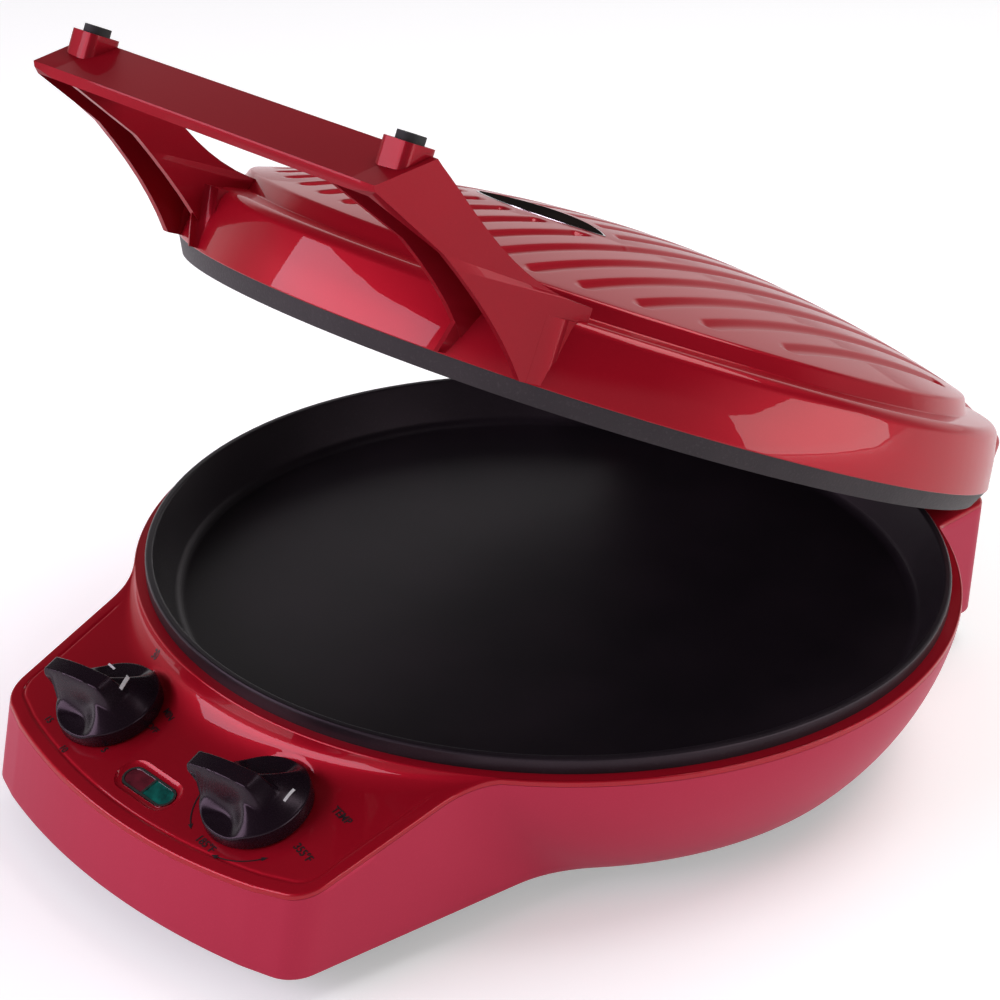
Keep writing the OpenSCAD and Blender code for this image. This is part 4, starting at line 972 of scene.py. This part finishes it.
        points += Bench.rounded((inward, panel(inward)), (edge, edge_z), (self.radius(turn, below), below), turned, 6)
        seam = edge_z - self.edge_r - 0.6
        lip = self.radius(turn, seam)
        points += [(lip, seam), (lip - self.wall, seam)]
        far_in = lip - self.wall - 0.6
        points += [(r, panel(r) - self.wall) for r in (
            far_in + (min(far_in, rim) - far_in) * (1.0 - (1.0 - k / 10) ** 1.6) for k in range(11))]
        points.append((self.ledge_in, self.deck_z - self.wall))
        return points, seam

    def bowl_section(self, turn: float, seam: float) -> list[Point]:
        """Works out one closed section of the bowl and the control box's sides, below the seam.

        Args:
            turn: Angle from straight ahead, in radians.
            seam: Height of the seam.

        Returns:
            Points (distance from the axis, height).
        """
        top = seam - self.seam_gap
        points = [(self.radius(turn, top) - self.seam_gap, top)]
        for k in range(self.rows + 1):
            z = top - self.seam_gap + (self.low_z + 0.9 - top + self.seam_gap) * k / self.rows
            points.append((self.radius(turn, z), z))
        foot = self.radius(turn, self.low_z)
        points += [(foot - 0.25, self.low_z + 0.25), (foot - 0.9, self.low_z), (foot - self.wall, self.low_z)]
        for k in range(7):
            z = self.low_z + (top - self.low_z) * k / 6
            points.append((self.radius(turn, z) - self.wall, z))
        return points

    def skins(self) -> None:
        """Builds the deck and the bowl from their sections, and cuts their openings."""
        self._box, self._block = self.box_outline(), self.block_outline()
        turns = self.turns()
        decks = [self.deck_section(t) for t in turns]
        deck = Bench.sweep(turns, [points for points, _ in decks])
        bowl = Bench.sweep(turns, [self.bowl_section(t, seam) for t, (_, seam) in zip(turns, decks)])
        for tool in self.windows():
            deck = Bench.combine(deck, tool)
        bowl = Bench.combine(bowl, self.plate_room())
        Bench.piece("deck_skin", deck, LAYOUT.base(), CANDY_RED, Body.BASE, Slot.DECK_RED, ("base_deck",), angle=38.0)
        Bench.piece("bowl_skin", bowl, LAYOUT.base(), SATIN_RED, Body.BASE, Slot.BASE_RED, ("base_bowl",), angle=38.0)

    def windows(self) -> list[bmesh.types.BMesh]:
        """Builds the shapes of the indicator's pocket and opening."""
        to_panel = LAYOUT.base().inverted() @ LAYOUT.panel(0, -self.window_front)
        pocket = Bench.prism(Bench.obround(self.window_l + 2 * self.pocket_w, self.window_w + 2 * self.pocket_w), 6.0)
        low = [e for e in pocket.edges if all(v.co.z < 0.01 for v in e.verts)]
        bmesh.ops.bevel(pocket, geom=low, affect="EDGES", offset=4.4, offset_type="OFFSET", segments=7, profile=0.5,
                        material=-1, clamp_overlap=True)
        bmesh.ops.transform(pocket, matrix=to_panel @ Matrix.Translation((0, 0, -self.pocket_d)), verts=pocket.verts)
        opening = Bench.prism(Bench.obround(self.window_l, self.window_w), 12.0)
        bmesh.ops.transform(opening, matrix=to_panel @ Matrix.Translation((0, 0, -8)), verts=opening.verts)
        return [pocket, opening]

    def plate_room(self) -> bmesh.types.BMesh:
        """Builds the shape of the rear plate's opening."""
        width, height, z = self.rear_plate
        plate = bmesh.new()
        bmesh.ops.create_cube(plate, size=1.0)
        bmesh.ops.transform(plate, verts=plate.verts, matrix=Matrix.Translation((0, self.block_back, z))
                            @ Matrix.Diagonal((width, 12.0, height, 1.0)))
        return plate

    def ears(self) -> bpy.types.Object:
        """Builds the ears that hold the hinge pins."""
        bm = bmesh.new()
        side = Matrix.Rotation(math.pi / 2, 4, "Y")
        for x in (-self.hinge_x - self.ear_out, -self.hinge_x + self.ear_out, self.hinge_x - self.ear_out,
                  self.hinge_x + self.ear_out):
            bmesh.ops.create_cone(bm, cap_ends=True, segments=64, radius1=self.knuckle_r, radius2=self.knuckle_r,
                                  depth=self.ear_l, matrix=Matrix.Translation((x, self.hinge_back, 0)) @ side)
            height = -self.deck_z + 0.5
            bmesh.ops.create_cube(bm, size=1.0, matrix=Matrix.Translation(
                (x, self.hinge_back - 3.0, self.deck_z - 0.5 + height / 2)) @ Matrix.Diagonal(
                (self.ear_l, 5.0, height, 1.0)))
        Bench.bevel(bm, 0.4, 2)
        return Bench.piece("hinge_ears", bm, LAYOUT.base(), CANDY_RED, Body.BASE, Slot.DECK_RED, ("base_deck",))

    def build(self) -> None:
        """Builds the shell's pieces."""
        self.skins()
        self.ears()


@dataclass
class Knob:
    """A control knob: a domed body with a scoop on each side of a grip whose nose overhangs."""

    skirt_r: float = 20.0
    gap: float = 0.5
    skirt_z: float = 7.2
    cap_r: float = 19.4
    cap_h: float = 8.0
    grip_half: float = 4.3
    grip_off: float = 3.2
    grip_z: float = 20.4
    nose_l: float = 21.8
    grip_end: float = 7.5
    arch: float = 0.0055
    scoop_back: float = 5.6
    scoop_out: float = 18.4
    scoop_r: float = 15.0
    scoop_wall: float = 6.5
    scoop_z: float = 5.6
    beak_z: float = 8.6
    turn: float = 10.0
    steps: int = 44

    def height(self, u: float, v: float) -> float:
        """Returns the height of the knob's top.

        Args:
            u: Distance along the grip, away from its nose.
            v: Distance across the grip.

        Returns:
            The height above the panel.
        """
        away = math.hypot(u, v)
        z = self.skirt_z + self.cap_h * (1.0 - min(1.0, away / self.cap_r) ** 2)
        inside = self.scoop_r - math.hypot(u + self.scoop_back, abs(v - self.grip_off * 0.6) - self.scoop_out)
        z += (self.scoop_z - z) * fade(-0.8, self.scoop_wall, inside)
        top = self.grip_z - self.arch * (u + 8.0) ** 2
        ridge = 1.0 - fade(self.grip_half - 1.1, self.grip_half + 1.3, abs(v - self.grip_off))
        ridge *= 1.0 - fade(self.grip_end - 3.0, self.grip_end + 5.0, u)
        return max(z, z + (top - z) * ridge)

    def reach(self, turn: float) -> float:
        """Returns how far the knob reaches in a direction, which at 0 is the nose's."""
        if math.cos(turn) <= 0.5:
            return self.skirt_r
        side = self.grip_half - 0.2 + (self.grip_off if math.sin(turn) > 0 else -self.grip_off)
        return max(self.skirt_r, min(self.nose_l / math.cos(turn), side / (abs(math.sin(turn)) + 1e-6)))

    def body(self) -> bmesh.types.BMesh:
        """Builds the knob about its own axis, with the nose straight ahead."""
        turns, place = [-math.pi], -180.0
        while place < 180.0:
            place = min(180.0, place + (0.9 if abs(place + 0.45) < 24.0 else 3.0))
            turns.append(math.radians(place))
        sections = []
        for turn in turns:
            reach = self.reach(turn)
            points = []
            for k in range(self.steps + 1):
                r = (reach - 0.7) * k / self.steps
                points.append((r, self.height(-r * math.cos(turn), r * math.sin(turn))))
            edge = points[-1][1]
            out = (reach - self.skirt_r) / (self.nose_l - self.skirt_r)
            low = edge - 1.0 - 1.2 * min(1.0, out)
            beak = min(low, self.beak_z)
            points += [(reach - 0.25, edge - 0.25), (reach, edge - 0.8), (reach - 0.1 * out, low),
                       (self.skirt_r + 0.02, beak), (self.skirt_r, self.gap + 0.7), (self.skirt_r - 0.5, self.gap),
                       (0.0, self.gap)]
            sections.append(points)
        return Bench.sweep(turns, sections, closed=False)

    def build(self, name: str, x: float, body: Body, marks: tuple[tuple[float, float, float, float], ...]) -> None:
        """Builds the knob and its printed marks.

        Args:
            name: The CAD node that the knob stands for.
            x: The knob's distance to the right of the middle.
            body: The body that it rides on.
            marks: Lines from (x, t) to (x, t) on its top, from the knob's middle in the panel's directions.
        """
        bm = self.body()
        bmesh.ops.rotate(bm, verts=bm.verts, cent=(0, 0, 0),
                         matrix=Matrix.Rotation(math.radians(self.turn - 90.0), 3, "Z"))
        Bench.piece(name + "_grip", bm, LAYOUT.panel(x), KNOB_BLACK, body, Slot.KNOB, (name,), angle=50.0)
        lines = bmesh.new()
        for ax, at, bx, bt in marks:
            self.line(lines, (ax, at), (bx, bt))
        Bench.thicken(lines, 0.4)
        Bench.piece(name + "_mark", lines, LAYOUT.panel(x), MARK, body, Slot.CASE)

    def line(self, bm: bmesh.types.BMesh, start: Point, end: Point, width: float = 0.8, count: int = 6) -> None:
        """Adds a printed line that follows the knob's top.

        Args:
            bm: The mesh that takes the line.
            start: One end, in the panel's directions.
            end: The other end.
            width: The line's width.
            count: Number of short lengths in the line.
        """
        a, b = Vector(start), Vector(end)
        along = (b - a).normalized()
        grid = bmesh.ops.create_grid(bm, x_segments=count, y_segments=1, size=1.0)
        for v in grid["verts"]:
            p = a + (b - a) * ((v.co.x + 1) / 2) + Vector((-along.y, along.x)) * (v.co.y * width / 2)
            v.co = (p.x, p.y, self.height(*self.local(p.x, p.y)) + 0.15)

    def local(self, x: float, t: float) -> Point:
        """Turns a place given in the panel's directions into one along and across the grip."""
        turn = math.radians(self.turn)
        return (x * math.cos(turn) + t * math.sin(turn), -x * math.sin(turn) + t * math.cos(turn))


@dataclass
class PanelPrint:
    """The plain words, numbers and arrows printed round the knobs."""

    timer_x: float = -43.0
    temp_x: float = 43.0
    arc_r: float = 24.6
    arc_w: float = 0.45
    lift: float = 0.05
    thick: float = 0.12
    size: float = 4.0
    turn: float = -9.0

    def word(self, text: str, x: float, t: float, turn: float, size: float) -> bmesh.types.BMesh:
        """Makes a word's flat letters.

        Args:
            text: The word.
            x: Distance to the right of the middle.
            t: Distance up the slope from the row of knobs.
            turn: Turn of its baseline, in degrees.
            size: Size of the letters.

        Returns:
            The letters.
        """
        curve = bpy.data.curves.new("word", "FONT")
        curve.body = text
        curve.size = size
        curve.offset = 0.06
        curve.extrude = self.thick / 2
        curve.align_x = "CENTER"
        curve.align_y = "CENTER"
        obj = bpy.data.objects.new("word", curve)
        bpy.context.scene.collection.objects.link(obj)
        bm = bmesh.new()
        bm.from_mesh(obj.evaluated_get(bpy.context.evaluated_depsgraph_get()).to_mesh())
        bpy.data.objects.remove(obj)
        bpy.data.curves.remove(curve)
        bmesh.ops.remove_doubles(bm, verts=bm.verts, dist=0.0005)
        bmesh.ops.recalc_face_normals(bm, faces=bm.faces)
        place = LAYOUT.base().inverted() @ LAYOUT.panel(x, t, self.lift + self.thick / 2, turn)
        bmesh.ops.transform(bm, matrix=place, verts=bm.verts)
        return bm

    def arc(self, low: float, high: float) -> bmesh.types.BMesh:
        """Makes an arc round the temperature knob, between two angles in degrees."""
        angles = [math.radians(low + (high - low) * i / 24) for i in range(25)]
        outer = [(r * math.cos(a), r * math.sin(a)) for r, a in ((self.arc_r + self.arc_w / 2, a) for a in angles)]
        inner = [(r * math.cos(a), r * math.sin(a)) for r, a in ((self.arc_r - self.arc_w / 2, a) for a in angles)]
        return self.printed(outer + inner[::-1])

    def arrow(self, angle: float, sense: float, long: float = 2.4, half: float = 0.9) -> bmesh.types.BMesh:
        """Makes an arrowhead on the ring round the temperature knob.

        Args:
            angle: Its place on the ring, in degrees.
            sense: 1 where it points to greater angles, -1 to lesser ones.
            long: Its length.
            half: Half its width.

        Returns:
            The arrowhead.
        """
        a = math.radians(angle)
        out, along = Vector((math.cos(a), math.sin(a))), Vector((-math.sin(a), math.cos(a))) * sense
        tip, root = out * self.arc_r + along * long, out * self.arc_r
        corners = [tip, root + out * half * sense, root - out * half * sense]
        return self.printed([(c.x, c.y) for c in corners])

    def printed(self, outline: list[Point]) -> bmesh.types.BMesh:
        """Makes a flat printed shape round the temperature knob, as an outline about the knob's axis."""
        bm = Bench.prism(outline, self.thick)
        place = LAYOUT.base().inverted() @ LAYOUT.panel(self.temp_x, 0, self.lift)
        bmesh.ops.transform(bm, matrix=place, verts=bm.verts)
        return bm

    def build(self) -> None:
        """Builds all the prints as one piece."""
        shapes = [self.word(text, x, t, self.turn + more, self.size * scale) for text, x, t, more, scale in (
            ("TEMP", 70.6, 14.5, 0, 1.05), ("MIN", -22.0, 10.6, -9, 0.9), ("OFF", -21.8, 2.7, 0, 0.9),
            ("185\u00b0F", 40.0, -22.6, 4, 1.05), ("355\u00b0F", 72.0, -5.0, -2, 1.05), ("5", -28.4, -15.2, 0, 0.95),
            ("10", -42.5, -23.9, 0, 0.95), ("15", -60.3, -17.7, 0, 0.95), ("30", -49.5, 26.3, 0, 0.95),
        )]
        shapes += [self.arc(190, 234), self.arrow(233, 1), self.arc(281, 322), self.arrow(321, 1),
                   self.arrow(282, -1), self.arrow(176, -1, 2.0, 1.1)]
        whole = bmesh.new()
        for shape in shapes:
            mesh = bpy.data.meshes.new("print")
            shape.to_mesh(mesh)
            shape.free()
            whole.from_mesh(mesh)
            bpy.data.meshes.remove(mesh)
        shell = BaseShell()
        for v in whole.verts:
            v.co.z += shell.rise(math.hypot(v.co.x, v.co.y), math.atan2(v.co.x, -v.co.y))
        Bench.piece("panel_print", whole, LAYOUT.base(), PRINT, Body.BASE, Slot.BADGE, angle=20.0)


@dataclass
class Handle:
    """The looped handle: the CAD shape with soft edges, spreading feet and slim fillets at the skirt."""

    half: float = 87.0
    leg_w: float = 22.5
    splay: float = 5.0
    front: float = 227.0
    foot_z: float = 8.0
    top_z: float = 47.0
    spread: float = 7.0
    fillet_keep: float = 0.2
    lip_in: float = 0.1
    tip_z: float = 54.6
    edge: float = 1.3
    level_step: float = 5.0

    def reshape(self, bm: bmesh.types.BMesh) -> None:
        """Spreads the feet inward, slims the outer fillets and straightens the bar's front lip.

        Args:
            bm: The merged mesh, in the row frame in metres.
        """
        place = LAYOUT.lid()
        bmesh.ops.transform(bm, matrix=place.inverted(), verts=bm.verts)
        level = self.foot_z + self.level_step
        while level < self.top_z - self.level_step:
            bmesh.ops.bisect_plane(bm, geom=bm.verts[:] + bm.edges[:] + bm.faces[:], plane_co=(0, 0, level),
                                   plane_no=(0, 0, 1), dist=0.0001)
            level += self.level_step
        lean = math.tan(math.radians(self.splay))
        for v in bm.verts:
            side = math.copysign(1.0, v.co.x)
            x, y, z = abs(v.co.x), v.co.y, v.co.z
            outer = self.half + (y + self.front) * lean
            if x > outer + 0.2:
                r, angle = math.hypot(x, y), math.atan2(x, -y)
                corner = math.asin(min(1.0, outer / r))
                angle = corner + (angle - corner) * self.fillet_keep
                x, y = r * math.sin(angle), -r * math.cos(angle)
            low = max(0.0, 1.0 - (z - self.foot_z) / (self.top_z - self.foot_z))
            inward = fade(0.2, 0.8, (outer - x) / self.leg_w)
            x -= self.spread * low ** 2 * inward
            if abs(y + self.front - 1.0) < 0.3 and z > self.top_z - 6:
                y = -self.front + self.lip_in
            if x > self.half - 1.5 and y < 3.0 - self.front:
                z = max(z, self.tip_z)
            v.co = (side * x, y, z)
        bmesh.ops.transform(bm, matrix=place, verts=bm.verts)

    def build(self) -> None:
        """Builds the handle."""
        # The handle takes the darkened copy of the candy red, which paints shade on it.
        Bench.refined("lid_handle", SHADED_HANDLE_RED, Body.LID, Slot.DECK_RED, self.edge, 3, angle=28.0, shape=self.reshape)


@dataclass
class Carried:
    """The CAD nodes whose shape stays as it is, with their finishes."""

    finishes: dict[str, Finish] = field(default_factory=lambda: {
        "bottom_cover": COVER_BLACK, "foot_pads": RUBBER, "lower_heater": SHEATH, "lower_clamps": STEEL,
        "lower_reflector": SHEET, "case_screws": STEEL, "timer_case": CASE, "thermostat_case": CASE,
        "indicator_bezel": SILVER, "red_lens": LENS_RED, "green_lens": LENS_GREEN, "lamp_holder": CASE,
        "indicator_lamps": LAMP, "terminal_block": CASE, "cord_inlet": RUBBER, "hinge_pins": STEEL,
        "timer_shaft": STEEL, "temp_shaft": STEEL, "hinge_cover": COVER_BLACK, "handle_stops": RUBBER,
        "handle_screws": STEEL, "upper_heater": SHEATH, "upper_clamps": STEEL, "upper_reflector": SHEET,
        "rear_plate": SATIN_RED, "lid_screws": STEEL, "badge_plate": BADGE, "badge_edge_trim": SILVER,
        "base_bowl": SATIN_RED, "base_deck": CANDY_RED, "lower_pan": PAN_COATING, "timer_knob": KNOB_BLACK,
        "temp_knob": KNOB_BLACK, "lid_shell": CANDY_RED, "lid_handle": CANDY_RED, "upper_plate": RIM_BLACK,
    })

    def dress(self) -> None:
        """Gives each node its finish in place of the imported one."""
        for node, finish in self.finishes.items():
            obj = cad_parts[node]
            obj.data.materials.clear()
            obj.data.materials.append(finish.build())
            log.info("%s: carried over, %s", node, finish.name)


@dataclass
class Studio:
    """The floor, the soft lights, the pale surroundings and the camera."""

    azimuth: float = 44.484
    elevation: float = 27.134
    roll: float = 1.325
    distance: float = 923.1
    focal_px: float = 2176.8
    target_x: float = -36.04
    target_y: float = 8.1
    image_px: float = 1000.0
    sensor_mm: float = 36.0
    floor_lift: float = 0.3

    def camera(self) -> None:
        """Places the camera at the photograph's angle, from the pan's middle at the parting plane."""
        turn, rise, roll = (math.radians(v) for v in (self.azimuth, self.elevation, self.roll))
        back = Vector((math.sin(turn) * math.cos(rise), -math.cos(turn) * math.cos(rise), math.sin(rise)))
        right = (-back).cross(Vector((0, 0, 1))).normalized()
        up = right.cross(-back)
        across = right * math.cos(roll) + up * math.sin(roll)
        upward = -right * math.sin(roll) + up * math.cos(roll)
        eye = LAYOUT.base() @ (Vector((self.target_x, self.target_y, 0)) + back * self.distance)
        data = bpy.data.cameras.new("photo_camera")
        data.sensor_width = self.sensor_mm
        data.sensor_fit = "HORIZONTAL"
        data.lens = self.focal_px * self.sensor_mm / self.image_px
        data.clip_start = 0.05
        data.clip_end = 50
        obj = bpy.data.objects.new("photo_camera", data)
        bpy.context.scene.collection.objects.link(obj)
        turned = Matrix((across, upward, back)).transposed().to_4x4()
        obj.matrix_world = Matrix.Translation(eye) @ turned
        bpy.context.scene.camera = obj
        log.info("camera: lens %.1f mm", data.lens)

    def floor(self) -> None:
        """Lays a wide pale floor under the object."""
        bm = bmesh.new()
        bmesh.ops.create_grid(bm, x_segments=8, y_segments=8, size=6.0)
        mesh = bpy.data.meshes.new("floor")
        bm.to_mesh(mesh)
        bm.free()
        obj = bpy.data.objects.new("floor", mesh)
        bpy.context.scene.collection.objects.link(obj)
        mat = bpy.data.materials.new("floor_paper")
        mat.use_nodes = True
        shader = mat.node_tree.nodes["Principled BSDF"]
        shader.inputs["Base Color"].default_value = (0.93, 0.93, 0.93, 1)
        shader.inputs["Roughness"].default_value = 0.9
        shader.inputs["Specular IOR Level"].default_value = 0.1
        path = mat.node_tree.nodes.new("ShaderNodeLightPath")
        shader.inputs["Emission Color"].default_value = (1, 1, 1, 1)
        level = mat.node_tree.nodes.new("ShaderNodeMath")
        level.operation = "MULTIPLY"
        level.inputs[1].default_value = self.floor_lift
        seen = mat.node_tree.nodes.new("ShaderNodeMath")
        seen.operation = "MAXIMUM"
        clear = mat.node_tree.nodes.new("ShaderNodeMath")
        clear.operation = "MAXIMUM"
        mat.node_tree.links.new(path.outputs["Is Camera Ray"], seen.inputs[0])
        mat.node_tree.links.new(path.outputs["Is Glossy Ray"], seen.inputs[1])
        mat.node_tree.links.new(seen.outputs["Value"], clear.inputs[0])
        mat.node_tree.links.new(path.outputs["Is Transmission Ray"], clear.inputs[1])
        mat.node_tree.links.new(clear.outputs["Value"], level.inputs[0])
        mat.node_tree.links.new(level.outputs["Value"], shader.inputs["Emission Strength"])
        obj.data.materials.append(mat)

    def lights(self) -> None:
        """Sets soft lights above, to the front left and to the right."""
        centre = LAYOUT.base() @ Vector((0, 0, 0))
        for name, turn, rise, away, width, height, watts in (
            ("over", 162.0, 62.0, 1.9, 1.3, 0.9, 16.0),
            ("front_left", -25.0, 24.0, 1.85, 1.70, 0.80, 22.5),
            ("right", 105.0, 7.5, 1.8, 1.5, 0.59, 11.0),
        ):
            turn, rise = math.radians(turn), math.radians(rise)
            spot = Vector((math.sin(turn) * math.cos(rise), -math.cos(turn) * math.cos(rise), math.sin(rise))) * away
            data = bpy.data.lights.new(name, "AREA")
            data.shape = "RECTANGLE"
            data.size = width
            data.size_y = height
            data.energy = watts
            data.color = (0.95, 0.82, 1.0) if name == "front_left" else (1.0, 1.0, 1.0)
            obj = bpy.data.objects.new(name, data)
            bpy.context.scene.collection.objects.link(obj)
            obj.location = centre + spot
            obj.rotation_euler = (-spot).to_track_quat("-Z", "Y").to_euler()

    def surroundings(self) -> None:
        """Makes the world a soft grey light that the camera and reflections see as near white."""
        world = bpy.data.worlds.new("surroundings")
        bpy.context.scene.world = world
        world.use_nodes = True
        tree = world.node_tree
        tree.nodes.clear()
        out = tree.nodes.new("ShaderNodeOutputWorld")
        light = tree.nodes.new("ShaderNodeBackground")
        light.inputs["Color"].default_value = (1, 1, 1, 1)
        light.inputs["Strength"].default_value = 0.35
        seen = tree.nodes.new("ShaderNodeBackground")
        seen.inputs["Color"].default_value = (1, 1, 1, 1)
        seen.inputs["Strength"].default_value = 1.0
        path = tree.nodes.new("ShaderNodeLightPath")
        mix = tree.nodes.new("ShaderNodeMixShader")
        seen_by = tree.nodes.new("ShaderNodeMath")
        seen_by.operation = "MAXIMUM"
        clear = tree.nodes.new("ShaderNodeMath")
        clear.operation = "MAXIMUM"
        tree.links.new(self._backdrop(tree), seen.inputs["Color"])
        tree.links.new(path.outputs["Is Camera Ray"], seen_by.inputs[0])
        tree.links.new(path.outputs["Is Glossy Ray"], seen_by.inputs[1])
        tree.links.new(seen_by.outputs["Value"], clear.inputs[0])
        tree.links.new(path.outputs["Is Transmission Ray"], clear.inputs[1])
        tree.links.new(clear.outputs["Value"], mix.inputs["Fac"])
        tree.links.new(light.outputs["Background"], mix.inputs[1])
        tree.links.new(seen.outputs["Background"], mix.inputs[2])
        tree.links.new(mix.outputs["Shader"], out.inputs["Surface"])

    @staticmethod
    def _backdrop(tree: bpy.types.NodeTree) -> bpy.types.NodeSocket:
        """Adds the backdrop's colour: white behind the object up to eye level, dim in front and overhead.

        Args:
            tree: The world's node tree.

        Returns:
            The colour's socket.
        """
        place = tree.nodes.new("ShaderNodeTexCoord")
        parts = tree.nodes.new("ShaderNodeSeparateXYZ")
        height = Studio._range(tree, 0.28, 0.48, 1.0, 0.05)
        behind = tree.nodes.new("ShaderNodeMath")
        behind.operation = "SUBTRACT"
        depth = Studio._range(tree, 0.45, 1.05, 0.35, 1.0)
        both = tree.nodes.new("ShaderNodeMath")
        both.operation = "MULTIPLY"
        tree.links.new(place.outputs["Generated"], parts.inputs["Vector"])
        tree.links.new(parts.outputs["Z"], height.inputs["Value"])
        tree.links.new(parts.outputs["Y"], behind.inputs[0])
        tree.links.new(parts.outputs["X"], behind.inputs[1])
        tree.links.new(behind.outputs["Value"], depth.inputs["Value"])
        tree.links.new(height.outputs["Result"], both.inputs[0])
        tree.links.new(depth.outputs["Result"], both.inputs[1])
        return both.outputs["Value"]

    @staticmethod
    def _range(tree: bpy.types.NodeTree, low: float, high: float, start: float, end: float) -> bpy.types.Node:
        """Adds a node that passes smoothly from start to end while its value rises from low to high."""
        node = tree.nodes.new("ShaderNodeMapRange")
        node.interpolation_type = "SMOOTHSTEP"
        for name, value in (("From Min", low), ("From Max", high), ("To Min", start), ("To Max", end)):
            node.inputs[name].default_value = value
        return node

    def build(self) -> None:
        """Sets up the whole studio."""
        bpy.context.scene.view_settings.view_transform = "Standard"
        self.camera()
        self.floor()
        self.lights()
        self.surroundings()


def main() -> None:
    """Builds the studio and the object's sub-assemblies in order."""
    Studio().build()
    Carried().dress()
    BaseShell().build()
    LidShell().build()
    Knob().build("timer_knob", -43.0, Body.TIMER, ((0.5, 5.2, 4.0, 5.0), (7.6, 7.4, 9.6, 1.8)))
    Knob().build("temp_knob", 43.0, Body.TEMP, ((13.2, 8.2, 14.8, 2.2),))
    PanelPrint().build()
    Handle().build()


if __name__ == "__main__":
    main()
